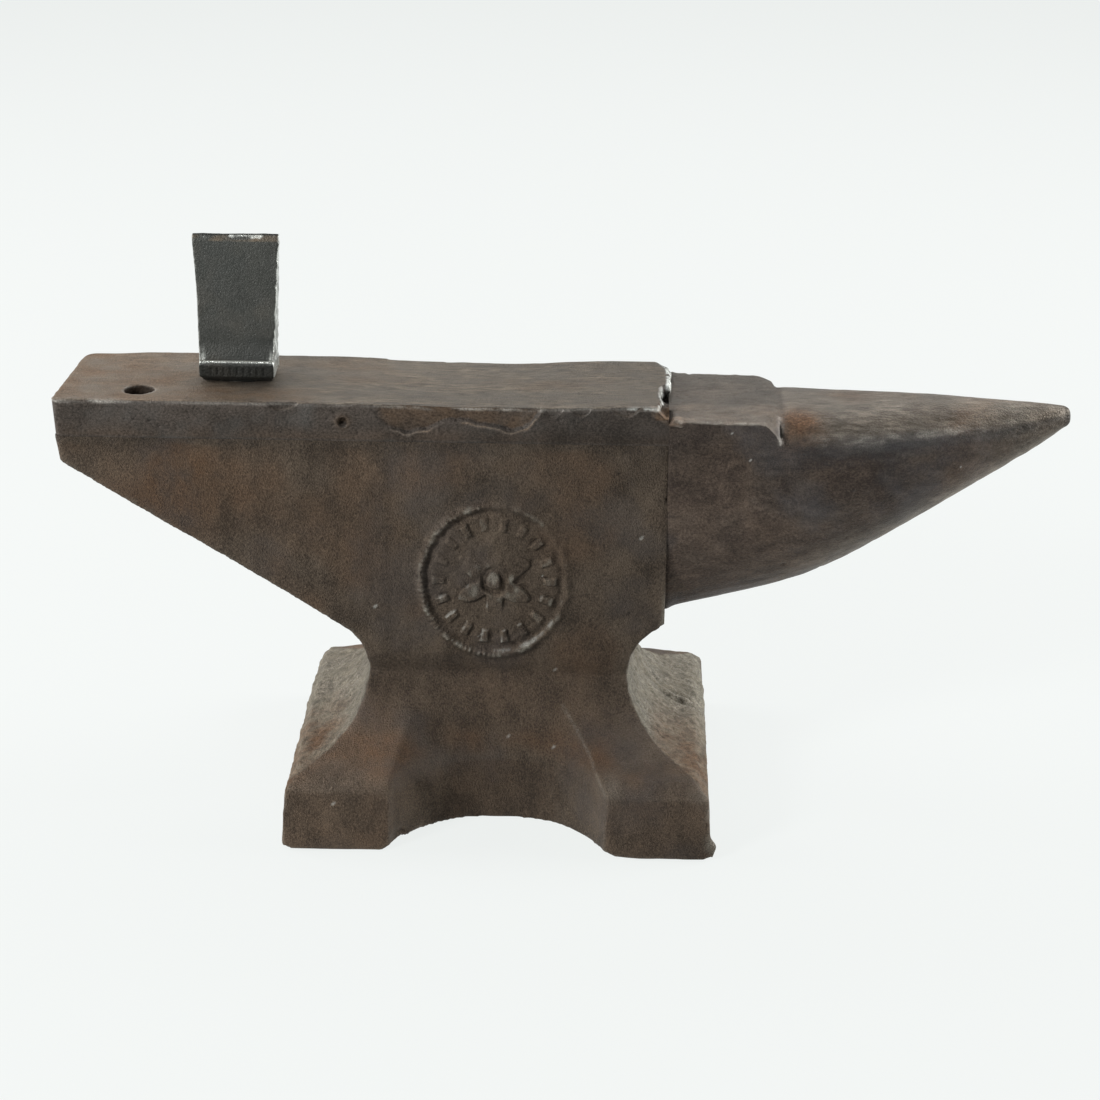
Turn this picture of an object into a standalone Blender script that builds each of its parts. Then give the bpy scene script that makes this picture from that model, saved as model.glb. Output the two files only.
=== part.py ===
"""Small cast anvil with a steel face and horn, and a cut-off hardy standing in its hardy hole.

X runs along the anvil, from the end of the heel at -X to the tip of the horn at +X. Y runs across it, with
the front at -Y. Z is up, and the feet stand on Z = 0. The origin lies below the middle of the whole length.
Lengths are in millimetres here, and the mesh helpers turn them into metres.
"""
import math

import bmesh
import bpy
from mathutils import Vector

MM = 0.001
GAP = 0.3                       # clearance between pieces that touch

# Whole anvil
LENGTH = 482.6
HEIGHT = 210.0
HEEL_X = -LENGTH / 2
TIP_X = LENGTH / 2
FACE_HALF = 36.0                # half the width of the face
SEAM_X = 47.5                   # where the body and the face plate end and the horn starts

# Face plate
PLATE_THICKNESS = 18.5
PLATE_BOTTOM = HEIGHT - PLATE_THICKNESS
SWAY = 1.2                      # how far the middle of the face is worn down
SWAY_X = (-100.0, -62.0, -12.0, 20.0)
PLATE_EDGE = 2.0                # rounding of the plate's upper edges

# Holes through the heel
HARDY_HOLE = 16.8               # side of the square hole
HARDY_X = -158.2
HARDY_Y = 2.5
PRITCHEL_HOLE = 14.0            # diameter of the round hole
PRITCHEL_X = -203.0
PRITCHEL_Y = -19.8
PRITCHEL_SIDES = 24
CUT_OVERRUN = 10.0              # how far a cutting tool sticks out of what it cuts

# Heel and waist
HEEL_BOTTOM = (-239.4, 180.0)   # lower corner of the heel's end
HEEL_ROOT = (-104.5, 93.7)      # where the heel's underside meets the waist
WAIST_LEFT_CURVE = ((-99.8, 88.0), (-97.0, 81.5))
WAIST_LEFT = -96.0
WAIST_RIGHT = 30.3
WAIST_Z = 73.5                  # narrowest level, where the base starts to spread
THROAT_Z = 105.0                # where the body's horn end turns in towards the waist
THROAT_SLOPE = (41.8, 95.7)     # end of the rounded corner under the horn
THROAT_ROOT = (35.0, 88.8)
THROAT_FOOT = (31.6, 82.0)

# Base
FOOT_Z = 36.0                   # level where the concave ramps run out
RAMP_TURN = 82.0                # how far round its quarter ellipse a ramp goes, in degrees
RAMP_STEPS = 7
FOOT_EDGE = 30.5                # top of the feet's outer sides
BASE_LEFT = -131.0
BASE_RIGHT = 70.0
BASE_HALF = 82.0                # half the depth of the base
FOOT_DRAFT = 1.8                # how much wider the feet are at the floor

# Hollows between the feet, front and back: upright walls that run out into the waist
ARCH_X = -31.0                  # middle of a hollow at the floor
ARCH_HALF = 52.0                # half width of a hollow between two feet
ARCH_NARROWING = 0.78           # loss of half width for each millimetre above the feet
ARCH_LEAN = 0.25                # shift towards the heel for each millimetre above the feet
ARCH_START_Z = 34.0             # where a hollow starts to narrow
ARCH_TOP_Z = 66.0               # where a hollow runs out
ARCH_FLOOR_Y = 48.0             # distance from the middle plane to the deepest line, at the floor
ARCH_TOP_Y = 36.9               # the same at the top
ARCH_SWEEP = 76.0               # half the angle of the wall's arc, in degrees
ARCH_STEPS = 24
ARCH_UPRIGHT_Z = 20.0           # the feet's fronts are taken as upright below this level

# Horn and table
TABLE_END = 99.5
TABLE_TOP = 204.2
TABLE_HALF = 35.6
TABLE_BOTTOM = 168.0
TABLE_EDGE = 3.0
HORN_HALF = 34.8                # half width of the horn next to the body
HORN_TAPER_X = 92.0             # where the horn starts to narrow
TABLE_SLANT = 22.0              # the table block's end slants back under it over this much of its height
HORN_CREST = TABLE_TOP - 0.3    # top of the horn at its root, just under the table's top
CREST_POWER = 4.4               # how late the top of the horn starts to fall
SIDE_POWER = 1.75               # how early its sides start to close in
UNDERSIDE_SLOPE = 0.66          # rise of the straight part of the underside, for each millimetre along
BELLY_Z = 96.0                  # underside at the root
BELLY_SLOPE = 0.24
BELLY_BLEND = 9.0               # how softly the two slopes of the underside meet
SHOULDER_POWERS = (5.0, 2.0)    # squareness of the upper half of a section, at the root and along the horn
SHOULDER_RUN = 0.83             # part of the horn over which the shoulders turn round
BELLY_POWERS = (2.3, 2.0)       # the same for the lower half, at the root and at the tip
WIDEST_PART = 0.45              # how far down a section it is widest
TIP_Z = 196.8
TIP_RADIUS = 3.8
TIP_ROUNDING = (30.0, 60.0)     # angles of the rings that round the tip, in degrees
HORN_SECTIONS = 22
HORN_SIDES = 40

# Hardy tool
SHANK = 16.0
SHANK_LENGTH = 48.0
TOOL_HALF_X = 16.7              # half width of the base
TOOL_HALF_Y = 9.3               # half thickness of the base
TOOL_BAND = 9.2                 # height of the straight band above the face
TOOL_HEIGHT = 70.5              # from the face to the cutting edge
BLADE_HALF_X = 20.2             # half width of the cutting edge
BEVEL_HEIGHT = 3.2              # height of the ground cutting bevel
BEVEL_HALF_Y = 1.9
EDGE_HALF_Y = 0.4
SHANK_TAPER = (3.0, 1.5)        # length and depth of the taper at the shank's lower end
BASE_CHAMFER = 0.8              # chamfers under and above the straight band
BAND_STEP = (0.3, 0.6)          # how much narrower and thinner the blade starts than the band
BLADE_FLARE = 0.2               # widening of the blade over its bevel

# Finishes: colour, roughness, metallic
FINISHES = {
    "body": ((0.062, 0.044, 0.034), 0.78, 0.35),
    "face_plate": ((0.125, 0.100, 0.082), 0.55, 0.60),
    "horn": ((0.082, 0.062, 0.050), 0.60, 0.50),
    "hardy_tool": ((0.055, 0.058, 0.052), 0.50, 0.80),
}


def remove_old_objects():
    for old in list(bpy.data.objects):
        bpy.data.objects.remove(old, do_unlink=True)


def make_material(name):
    """Principled finish of one piece."""
    colour, roughness, metallic = FINISHES[name]
    material = bpy.data.materials.new(name)
    material.use_nodes = True
    shader = material.node_tree.nodes["Principled BSDF"]
    shader.inputs["Base Color"].default_value = (*colour, 1.0)
    shader.inputs["Roughness"].default_value = roughness
    shader.inputs["Metallic"].default_value = metallic
    material.diffuse_color = (*colour, 1.0)
    return material


def make_object(name, shape, origin=(0.0, 0.0, 0.0)):
    """Turn a bmesh in millimetres into an object in metres, with its origin at the given point."""
    bmesh.ops.recalc_face_normals(shape, faces=shape.faces)
    bmesh.ops.translate(shape, verts=shape.verts, vec=-Vector(origin))
    bmesh.ops.scale(shape, verts=shape.verts, vec=(MM, MM, MM))
    mesh = bpy.data.meshes.new(name)
    shape.to_mesh(mesh)
    shape.free()
    thing = bpy.data.objects.new(name, mesh)
    thing.location = Vector(origin) * MM
    bpy.context.collection.objects.link(thing)
    if name in FINISHES:
        mesh.materials.append(make_material(name))
    return thing


def arc(centre, radii, start, end, steps):
    """Points of an elliptical arc from one angle to another, in degrees, ends included."""
    points = []
    for step in range(steps + 1):
        angle = math.radians(start + (end - start) * step / steps)
        points.append((centre[0] + radii[0] * math.cos(angle), centre[1] + radii[1] * math.sin(angle)))
    return points


def prism(outline, low, high, place):
    """Extrude an outline between two levels; place turns (u, v, level) into a point."""
    shape = bmesh.new()
    corners = [shape.verts.new(place(u, v, low)) for u, v in outline]
    face = shape.faces.new(corners)
    swept = bmesh.ops.extrude_face_region(shape, geom=[face])
    for item in swept["geom"]:
        if isinstance(item, bmesh.types.BMVert):
            index = min(range(len(corners)), key=lambda i: (corners[i].co - item.co).length)
            item.co = place(*outline[index], high)
    return shape


def along_x(u, v, level):
    return Vector((level, u, v))


def along_y(u, v, level):
    return Vector((u, level, v))


def along_z(u, v, level):
    return Vector((u, v, level))


def use(thing, tool, operation):
    """Combine a piece with a tool body, which is then hidden."""
    tool.hide_render = True
    tool.display_type = "WIRE"
    modifier = thing.modifiers.new(tool.name, "BOOLEAN")
    modifier.operation = operation
    modifier.object = tool
    modifier.solver = "EXACT"


def bevel_edges(shape, width, segments, wanted):
    """Round the edges that a test picks out."""
    edges = [edge for edge in shape.edges if wanted(edge)]
    bmesh.ops.bevel(shape, geom=edges, offset=width, segments=segments, profile=0.5, affect="EDGES")


def ramp():
    """Concave run from the waist to the feet: how far out it is, from 0 to 1, and its level."""
    return arc((1.0, WAIST_Z), (-1.0, FOOT_Z - WAIST_Z), 0, RAMP_TURN, RAMP_STEPS)


def body_side_outline():
    """Body seen from the front: heel, waist and base, in X and Z."""
    top = PLATE_BOTTOM - GAP
    left_ramp = [(WAIST_LEFT + (BASE_LEFT - WAIST_LEFT) * out, z) for out, z in ramp()]
    right_ramp = [(WAIST_RIGHT + (BASE_RIGHT - WAIST_RIGHT) * out, z) for out, z in reversed(ramp())]
    turn = (SEAM_X - THROAT_SLOPE[0], THROAT_SLOPE[1] - THROAT_Z)
    throat = arc((THROAT_SLOPE[0], THROAT_Z), turn, 90, 0, 4)
    outline = [(HEEL_X, top), HEEL_BOTTOM, HEEL_ROOT, *WAIST_LEFT_CURVE]
    outline += left_ramp
    outline += [(BASE_LEFT, FOOT_EDGE), (BASE_LEFT - FOOT_DRAFT, 0.0)]
    outline += [(BASE_RIGHT + FOOT_DRAFT, 0.0), (BASE_RIGHT, FOOT_EDGE)]
    outline += right_ramp
    outline += [THROAT_FOOT, THROAT_ROOT]
    outline += throat
    outline += [(SEAM_X, top)]
    return outline


def body_end_outline():
    """Body seen from the end: straight sides above the spreading base, in Y and Z."""
    top = PLATE_BOTTOM - GAP
    spread = [(FACE_HALF + (BASE_HALF - FACE_HALF) * out, z) for out, z in ramp()]
    right = [(FACE_HALF, top), *spread, (BASE_HALF, FOOT_EDGE), (BASE_HALF + FOOT_DRAFT, 0.0)]
    left = [(-y, z) for y, z in reversed(right)]
    return right + left


def arch_section(z, ridge, side):
    """Outline of a hollow at one level: an arc that meets the base's front at its ridges, open outwards."""
    above = max(z - ARCH_START_Z, 0.0)
    middle = ARCH_X - ARCH_LEAN * above
    half = ARCH_HALF - ARCH_NARROWING * above
    deepest = ARCH_FLOOR_Y + (ARCH_TOP_Y - ARCH_FLOOR_Y) * max(z, 0.0) / ARCH_TOP_Z
    reach = max(ridge - deepest, 0.0)
    points = []
    for across, out in arc((0.0, 1.0), (1.0, -1.0), 90 + ARCH_SWEEP, 90 - ARCH_SWEEP, ARCH_STEPS):
        across /= math.sin(math.radians(ARCH_SWEEP))
        out /= 1 - math.cos(math.radians(ARCH_SWEEP))
        points.append(Vector((middle + half * across, side * (deepest + reach * out), z)))
    outside = side * (BASE_HALF + 3 * CUT_OVERRUN)
    points.append(Vector((middle + half, outside, z)))
    points.append(Vector((middle - half, outside, z)))
    return points


def arch_cutter(side):
    """Tool body for the hollow on the front (-1) or on the back (1)."""
    foot = BASE_HALF + FOOT_DRAFT
    levels = [(-CUT_OVERRUN, foot), (0.0, foot), (ARCH_UPRIGHT_Z, foot), (FOOT_EDGE, BASE_HALF)]
    for out, z in reversed(ramp()):
        if z < ARCH_TOP_Z:
            levels.append((z, FACE_HALF + (BASE_HALF - FACE_HALF) * out))
    return make_object(f"cut_arch_{side}", loft([arch_section(z, ridge, side) for z, ridge in levels]))


def loft(sections):
    """Closed shape through sections that have the same number of points."""
    shape = bmesh.new()
    rings = [[shape.verts.new(point) for point in section] for section in sections]
    for ring, following in zip(rings, rings[1:]):
        for index in range(len(ring)):
            after = (index + 1) % len(ring)
            shape.faces.new((ring[index], ring[after], following[after], following[index]))
    shape.faces.new(rings[0])
    shape.faces.new(rings[-1])
    return shape


def hole_cutters():
    """Tool bodies for the square and the round hole, longer than the heel is thick."""
    half = HARDY_HOLE / 2
    square = [(-half, -half), (half, -half), (half, half), (-half, half)]
    square = [(HARDY_X + x, HARDY_Y + y) for x, y in square]
    radius = PRITCHEL_HOLE / 2
    last = 360 - 360 / PRITCHEL_SIDES
    rounds = arc((PRITCHEL_X, PRITCHEL_Y), (radius, radius), 0, last, PRITCHEL_SIDES - 1)
    cutters = []
    for name, outline in (("cut_hardy_hole", square), ("cut_pritchel_hole", rounds)):
        cutters.append(make_object(name, prism(outline, WAIST_Z, HEIGHT + CUT_OVERRUN, along_z)))
    return cutters


def make_body(holes):
    """Cast body: what its outlines from the front and from the end have in common, less hollows and holes."""
    wide = BASE_HALF + CUT_OVERRUN
    body = make_object("body", prism(body_side_outline(), -wide, wide, along_y))
    end = make_object("end_shape", prism(body_end_outline(), HEEL_X - CUT_OVERRUN, TIP_X, along_x))
    use(body, end, "INTERSECT")
    for side in (-1, 1):
        use(body, arch_cutter(side), "DIFFERENCE")
    for hole in holes:
        use(body, hole, "DIFFERENCE")
    return body


def make_face_plate(holes):
    """Hard plate with rounded upper edges and a shallow sway in the middle of its length."""
    worn = HEIGHT - SWAY
    outline = [(HEEL_X, PLATE_BOTTOM), (HEEL_X, HEIGHT)]
    outline += zip(SWAY_X, (HEIGHT, worn, worn, HEIGHT))
    outline += [(SEAM_X, HEIGHT), (SEAM_X, PLATE_BOTTOM)]
    shape = prism(outline, -FACE_HALF, FACE_HALF, along_y)
    middle = PLATE_BOTTOM + PLATE_THICKNESS / 2

    def upper_edge(edge):
        high = all(vert.co.z > middle for vert in edge.verts)
        return high and edge.calc_face_angle(0) > 1.0

    bevel_edges(shape, PLATE_EDGE, 2, upper_edge)
    plate = make_object("face_plate", shape)
    for hole in holes:
        use(plate, hole, "DIFFERENCE")
    return plate


def horn_levels(x):
    """Top, bottom and half width of the horn at one place along it."""
    start = SEAM_X + GAP
    run = (x - HORN_TAPER_X) / (TIP_X - HORN_TAPER_X)
    taper = max(run, 0.0)
    top = HORN_CREST - (HORN_CREST - TIP_Z - TIP_RADIUS) * taper ** CREST_POWER
    straight = TIP_Z - TIP_RADIUS - (TIP_X - x) * UNDERSIDE_SLOPE
    flat = BELLY_Z + (x - start) * BELLY_SLOPE
    bottom = 0.5 * (straight + flat + math.hypot(straight - flat, BELLY_BLEND))
    half = HORN_HALF - (HORN_HALF - TIP_RADIUS) * taper ** SIDE_POWER
    return top, bottom, half


def horn_section(x):
    """Points round one section: squarish shoulders by the table, round towards the tip."""
    top, bottom, half = horn_levels(x)
    run = (x - SEAM_X) / (TIP_X - SEAM_X)
    root, along = SHOULDER_POWERS
    upper_power = root + (along - root) * min(run / SHOULDER_RUN, 1.0)
    root, tip = BELLY_POWERS
    lower_power = root + (tip - root) * run
    widest = top - WIDEST_PART * (top - bottom)
    points = []
    for side in range(HORN_SIDES):
        angle = 2 * math.pi * side / HORN_SIDES
        across = math.cos(angle)
        up = math.sin(angle)
        power = upper_power if up >= 0 else lower_power
        reach = top - widest if up >= 0 else widest - bottom
        y = half * math.copysign(abs(across) ** (2 / power), across)
        z = widest + reach * math.copysign(abs(up) ** (2 / power), up)
        points.append(Vector((x, y, z)))
    return points


def horn_shape():
    """Loft from the body to a blunt tip."""
    start = SEAM_X + GAP
    neck = TIP_X - TIP_RADIUS * math.sin(math.radians(TIP_ROUNDING[-1]))
    sections = [horn_section(start + (neck - start) * i / HORN_SECTIONS) for i in range(HORN_SECTIONS + 1)]
    last = sections[-1]
    centre = sum(last, Vector()) / len(last)
    for angle in TIP_ROUNDING:
        shrink = math.cos(math.radians(angle))
        ahead = Vector((TIP_RADIUS * math.sin(math.radians(angle)), 0, 0))
        sections.append([centre + (point - centre) * shrink + ahead for point in last])
    return loft(sections)


def make_horn():
    """Horn with the square-cornered table block on its root."""
    horn = make_object("horn", horn_shape())
    start = SEAM_X + GAP
    outline = [(start, TABLE_BOTTOM), (TABLE_END - TABLE_SLANT, TABLE_BOTTOM),
               (TABLE_END, TABLE_BOTTOM + TABLE_SLANT), (TABLE_END, TABLE_TOP), (start, TABLE_TOP)]
    shape = prism(outline, -TABLE_HALF, TABLE_HALF, along_y)
    bevel_edges(shape, TABLE_EDGE, 3, lambda edge: all(
        vert.co.z > TABLE_TOP - 1 or vert.co.x > TABLE_END - 1 for vert in edge.verts))
    use(horn, make_object("table_block", shape), "UNION")
    return horn


def make_hardy_tool():
    """Cut-off hardy: square shank, low base band, and a blade that widens to its edge."""
    rest = HEIGHT + GAP
    half_shank = SHANK / 2
    blade_start = rest + TOOL_BAND
    bevel_start = HEIGHT + TOOL_HEIGHT - BEVEL_HEIGHT
    taper_length, taper_depth = SHANK_TAPER
    narrower, thinner = BAND_STEP
    levels = [
        (HEIGHT - SHANK_LENGTH, half_shank - taper_depth, half_shank - taper_depth),
        (HEIGHT - SHANK_LENGTH + taper_length, half_shank, half_shank),
        (rest, half_shank, half_shank),
        (rest, TOOL_HALF_X - BASE_CHAMFER, TOOL_HALF_Y - BASE_CHAMFER),
        (rest + BASE_CHAMFER, TOOL_HALF_X, TOOL_HALF_Y),
        (blade_start - BASE_CHAMFER, TOOL_HALF_X, TOOL_HALF_Y),
        (blade_start, TOOL_HALF_X - narrower, TOOL_HALF_Y - thinner),
        (bevel_start, BLADE_HALF_X - BLADE_FLARE, BEVEL_HALF_Y),
        (HEIGHT + TOOL_HEIGHT, BLADE_HALF_X, EDGE_HALF_Y),
    ]
    corners = ((-1, -1), (1, -1), (1, 1), (-1, 1))
    sections = []
    for z, half_x, half_y in levels:
        sections.append([Vector((HARDY_X + x * half_x, HARDY_Y + y * half_y, z)) for x, y in corners])
    return make_object("hardy_tool", loft(sections), origin=(HARDY_X, HARDY_Y, HEIGHT))


def main():
    remove_old_objects()
    holes = hole_cutters()
    make_body(holes)
    make_face_plate(holes)
    make_horn()
    make_hardy_tool()


main()
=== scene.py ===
"""Worn look of a small cast anvil with a cut-off hardy standing in its hardy hole.

Every visible piece is a fine copy of its CAD node: the copy is remeshed into even quads, its corners are
worn round, and the marks of casting, breaking and use are sculpted into the mesh. Masks on the points then
steer one procedural metal material per piece:
    tone    how light or dark the metal is, around 1; in places it holds painted light and shade
    rust    brown rust            cavity  dirt in the hollows
    polish  metal rubbed smooth, and painted light on the body's ramps and the horn's underside
    cool    grey patches, and a painted highlight and reflection on the horn
    wear    rubbed ridges, and painted highlights on the horn, the table's end and the right foot
    bare    bright bare metal, and painted glints on the medallion and the table's end

Lengths are in millimetres in the frame of the model: X along the anvil, the front at -Y, the floor at
Z = 0. Every seed is fixed, so each run makes the same meshes.
"""
import itertools
import math

import bmesh
import bpy
import numpy as np
from mathutils import Matrix, Vector


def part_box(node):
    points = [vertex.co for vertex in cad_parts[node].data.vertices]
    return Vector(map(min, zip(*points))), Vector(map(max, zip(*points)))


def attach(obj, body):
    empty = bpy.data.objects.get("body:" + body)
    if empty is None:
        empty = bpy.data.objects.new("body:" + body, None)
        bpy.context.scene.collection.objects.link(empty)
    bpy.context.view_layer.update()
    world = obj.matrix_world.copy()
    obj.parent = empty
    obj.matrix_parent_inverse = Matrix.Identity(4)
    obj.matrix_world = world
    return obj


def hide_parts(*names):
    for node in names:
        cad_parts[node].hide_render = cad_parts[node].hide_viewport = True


MM = 0.001

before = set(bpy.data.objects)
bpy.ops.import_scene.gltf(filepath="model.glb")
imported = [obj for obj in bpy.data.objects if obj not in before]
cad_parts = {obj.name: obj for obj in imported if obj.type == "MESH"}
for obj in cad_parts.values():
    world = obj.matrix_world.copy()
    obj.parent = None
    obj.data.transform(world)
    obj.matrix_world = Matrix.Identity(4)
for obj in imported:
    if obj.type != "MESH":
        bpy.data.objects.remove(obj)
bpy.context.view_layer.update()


def node_box(name):
    """Lowest and highest corner of a CAD node, in millimetres."""
    low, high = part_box(name)
    return np.array(low) / MM, np.array(high) / MM


BODY_LOW, BODY_HIGH = node_box("body")
PLATE_LOW, PLATE_HIGH = node_box("face_plate")
HORN_LOW, HORN_HIGH = node_box("horn")
TOOL_LOW, TOOL_HIGH = node_box("hardy_tool")

FRONT_Y = PLATE_LOW[1]  # front of the face plate and of the waist
BACK_Y = PLATE_HIGH[1]
FACE_Z = PLATE_HIGH[2]  # level of the face
PLATE_BOTTOM = PLATE_LOW[2]
HEEL_X = PLATE_LOW[0]
SEAM_X = PLATE_HIGH[0]  # where the horn starts
TABLE_Z = HORN_HIGH[2]
TIP_X = HORN_HIGH[0]
TOOL_X = (TOOL_LOW[0] + TOOL_HIGH[0]) / 2
TOOL_Y = (TOOL_LOW[1] + TOOL_HIGH[1]) / 2

# Fine meshes
VOXELS = {"body": 1.4, "face_plate": 0.9, "horn": 0.9, "hardy_tool": 0.5}  # size of the quads
DOUBLES = 0.01  # points of a CAD mesh closer than this are one point
SHARP_ANGLE = 58.0  # an edge bent by more degrees than this is shaded sharp

# Face and heel
SWAY = 1.2  # how far the middle of the face is worn down
SWAY_X = (-100.0, -62.0, -12.0, 20.0)  # where that starts, is full, starts to end, and ends
HEEL_TAPER = 0.9  # how far the heel's end leans in over the plate's thickness
HEEL_STEP = 0.4  # how far it leans in below the plate
HEEL_CORNERS = ((1, 12.0), (-1, 4.5))  # side and radius of the rounded corners of the heel's end
CLOSED_GAP = 0.05  # what is left of the gap between pieces welded to each other

# Waist and base
CREASE_Z = 73.5  # where the upright waist meets the ramps
CREASE_X = (-96.0, 30.3)  # its left and right end
BASE_X = (-131.0, 70.0)  # sides of the base, above the feet
BASE_Y = 82.0  # half its depth
BASE_ROUNDING = 3  # rounds of smoothing on the base's edges

# Cast medallion on the front of the waist: a rim, a ring of plain bars and a rosette
MEDALLION_X = -34.4
MEDALLION_Z = 121.9
MEDALLION_RADII = (35.9, 39.3)  # half its width and half its height
RIM_WIDTH = 2.1
RIM_HEIGHT = 2.3
RIM_BEADS = 92
BARS = 18
BAR_HEIGHT = 1.8
BAR_ENDS = (0.66, 0.83)  # where a bar starts and ends, as parts of the radius
PETALS = 6
PETAL_HEIGHT = 2.0
MEDALLION_LIGHT_STEP = 0.7  # step over which its slopes are compared, for the painted light and shade on them

# Break along the front edge of the face plate: its lower line as (X, Z); smaller chips as (middle, half
# width, drop)
SPALL = ((-93.0, 210.0), (-90.0, 204.5), (-84.0, 198.5), (-74.0, 195.2), (-65.5, 197.8), (-57.5, 201.6),
         (-47.8, 201.9), (-36.0, 199.2), (-26.2, 197.0), (-17.8, 200.0), (-12.8, 206.3), (-11.0, 209.0))
SPALL_DEPTH = 1.5
CHIPS = ((-133.5, 8.5, 4.3), (-6.6, 6.2, 5.4), (6.2, 6.0, 5.0), (27.0, 8.0, 5.2))
CHIP_DEPTH = 1.1
BREAK_RUNS = ((-76.6, 3.6), (-73.2, 4.6), (-60.5, 7.0))  # X and length of runs of metal below the break
HOLE_MARGIN = 9.5  # half side of the square round the hardy hole that keeps its edges
BLOW_HOLE = (-105.1, 200.9)  # X and Z of its middle
BLOW_HOLE_RADIUS = 2.3
PRITCHEL = (-203.0, -19.8)  # middle of the round hole in the heel
PRITCHEL_RADIUS = 7.0

# Torn end of the face plate: where its upper edge runs, as (Y, X)
TEAR = ((-36.0, 42.0), (-31.0, 42.5), (-26.5, 44.0), (-19.5, 42.8), (-5.0, 43.6), (-2.0, 46.0), (3.0, 47.6),
        (10.0, 47.6), (22.0, 46.4), (36.0, 42.6))
CAVITY = ((46.0, -13.0), (3.0, 11.0))  # middle and half size of the hole in the tear, in X and Y

# Lump left by the casting on the right ramp
LUMP = (58.0, 10.0)  # X and Y of its middle
LUMP_TURN = -24.0  # degrees
LUMP_LENGTH = 15.0
LUMP_PROFILE = (  # ridges and dips across it: place, height, width
    (-2.6, -0.9, 1.5), (0.4, 1.6, 1.6), (3.4, -0.8, 1.2), (6.0, 1.3, 1.4),
)

# Feet
FOOT_TOP = 36.0
FOOT_CORNERS = ((-131.0, 4.5, 2.2), (-83.0, 5.0, 2.5), (21.0, 7.0, 2.6), (71.0, 5.0, 2.2))  # X, run, height
RIGHT_FOOT_CORNERS = (24.0, 67.0)  # X of the upper corners of the right foot's front, where highlights are painted
SCRATCH_END = (22.0, 28.0)  # X, Z of a long scratch's lower end on the right ramp's ridge
SCRATCH_ACROSS = (0.79, 0.61)  # direction across it
SCRATCH_RUN = 30.0  # how far it runs towards the heel

# Horn
TABLE_END = 99.5
STRIP_BOTTOM = 193.6  # lower edge of the square strip round the table
DROOP = 7.6  # how far the table's front corner at the horn is beaten down
DROOP_RUN = 7.0
STRIP_HALF = 36.0  # half width of the strip
HORN_SIDE = 34.9  # half width of the horn below the strip
TIP_DENT = (TIP_X - 5.0, -3.0, 198.5)
HAMMER_MARKS = 12  # in each zone
HAMMER_ZONES = ((TIP_X - 42, TIP_X - 8, 0.2), (120.0, TIP_X - 20, -0.75))  # from X, to X, Z of the normal

# Hardy tool
BAND_TOP = FACE_Z + 9.5  # top of the straight band above the face
BAND_HALF = 16.7  # half its width
TICKS = 9  # plain ticks in the band's front
TICK_ROW = 28.4  # width of their row

# Floor, lights and sky
FLOOR_SIZE = 40.0  # half its side, in metres
FLOOR_LOOK = {
    "Base Color": (0.06, 0.06, 0.06), "Roughness": 0.8, "Specular IOR Level": 0.0,
    "Emission Color": (0.97, 1.0, 0.985), "Emission Strength": 0.83,
}
LIGHT_AIM = (0.0, 0.0, 0.12)  # in metres
LIGHTS = (  # place and size in metres, power in watts
    ("behind", (0.0, 1.5, 1.5), (2.4, 1.0), 26),
    ("left_side", (-1.6, 0.35, 0.8), (1.0, 1.0), 34),
    ("right_side", (1.6, 0.35, 0.8), (1.0, 1.0), 40),
    ("key", (-1.5, -1.4, 1.1), (0.45, 0.45), 46),
)
SKY_COLOUR = (0.97, 0.985, 1.0, 1.0)
SKY_STRENGTH = 0.12

# Camera
SENSOR = 36.0
CAMERA_CLIP = (0.01, 50.0)  # nearest and farthest thing it sees, in metres
CAMERA_PLACE = (26.6, -1135.25, 592.8)
CAMERA_PITCH = 22.469  # degrees below the level
CAMERA_YAW = 1.786  # degrees towards the heel
CAMERA_ROLL = -0.319  # degrees
CAMERA_LENS = 81.81


# ---- noise and steps

LATTICE = 64  # the noise repeats after so many features
LATTICE_VALUES = np.random.default_rng(11).random((LATTICE, LATTICE, LATTICE))


def rise(low, high, value):
    """Smooth step: 0 below low, 1 above high; low may be the larger one."""
    part = np.clip((value - low) / (high - low), 0.0, 1.0)
    return part * part * (3 - 2 * part)


def hump(distance, width):
    """1 at distance 0, falling smoothly to 0 a few widths away."""
    return np.exp(-(distance / width) ** 2)


def noise(points, size, seed=0):
    """Smooth noise from -1 to 1; size is that of its features, in one number or one for each axis."""
    place = points / np.asarray(size) + seed * np.array((17.31, 5.77, 9.13))
    cell = np.floor(place).astype(int)
    part = place - cell
    part = part * part * (3 - 2 * part)
    total = np.zeros(len(points))
    for corner in itertools.product((0, 1), repeat=3):
        weight = np.prod(np.where(corner, part, 1 - part), axis=1)
        index = (cell + corner) % LATTICE
        total += weight * LATTICE_VALUES[index[:, 0], index[:, 1], index[:, 2]]
    return 2 * total - 1


def fractal(points, size, octaves=3, seed=0):
    """Weighted mean of ever finer noise, from -1 to 1."""
    size = np.asarray(size, dtype=float)
    total = np.zeros(len(points))
    for octave in range(octaves):
        total += noise(points, size / 2 ** octave, seed + octave) / 2 ** octave
    return total / (2 - 0.5 ** (octaves - 1))


# ---- fine meshes

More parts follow.
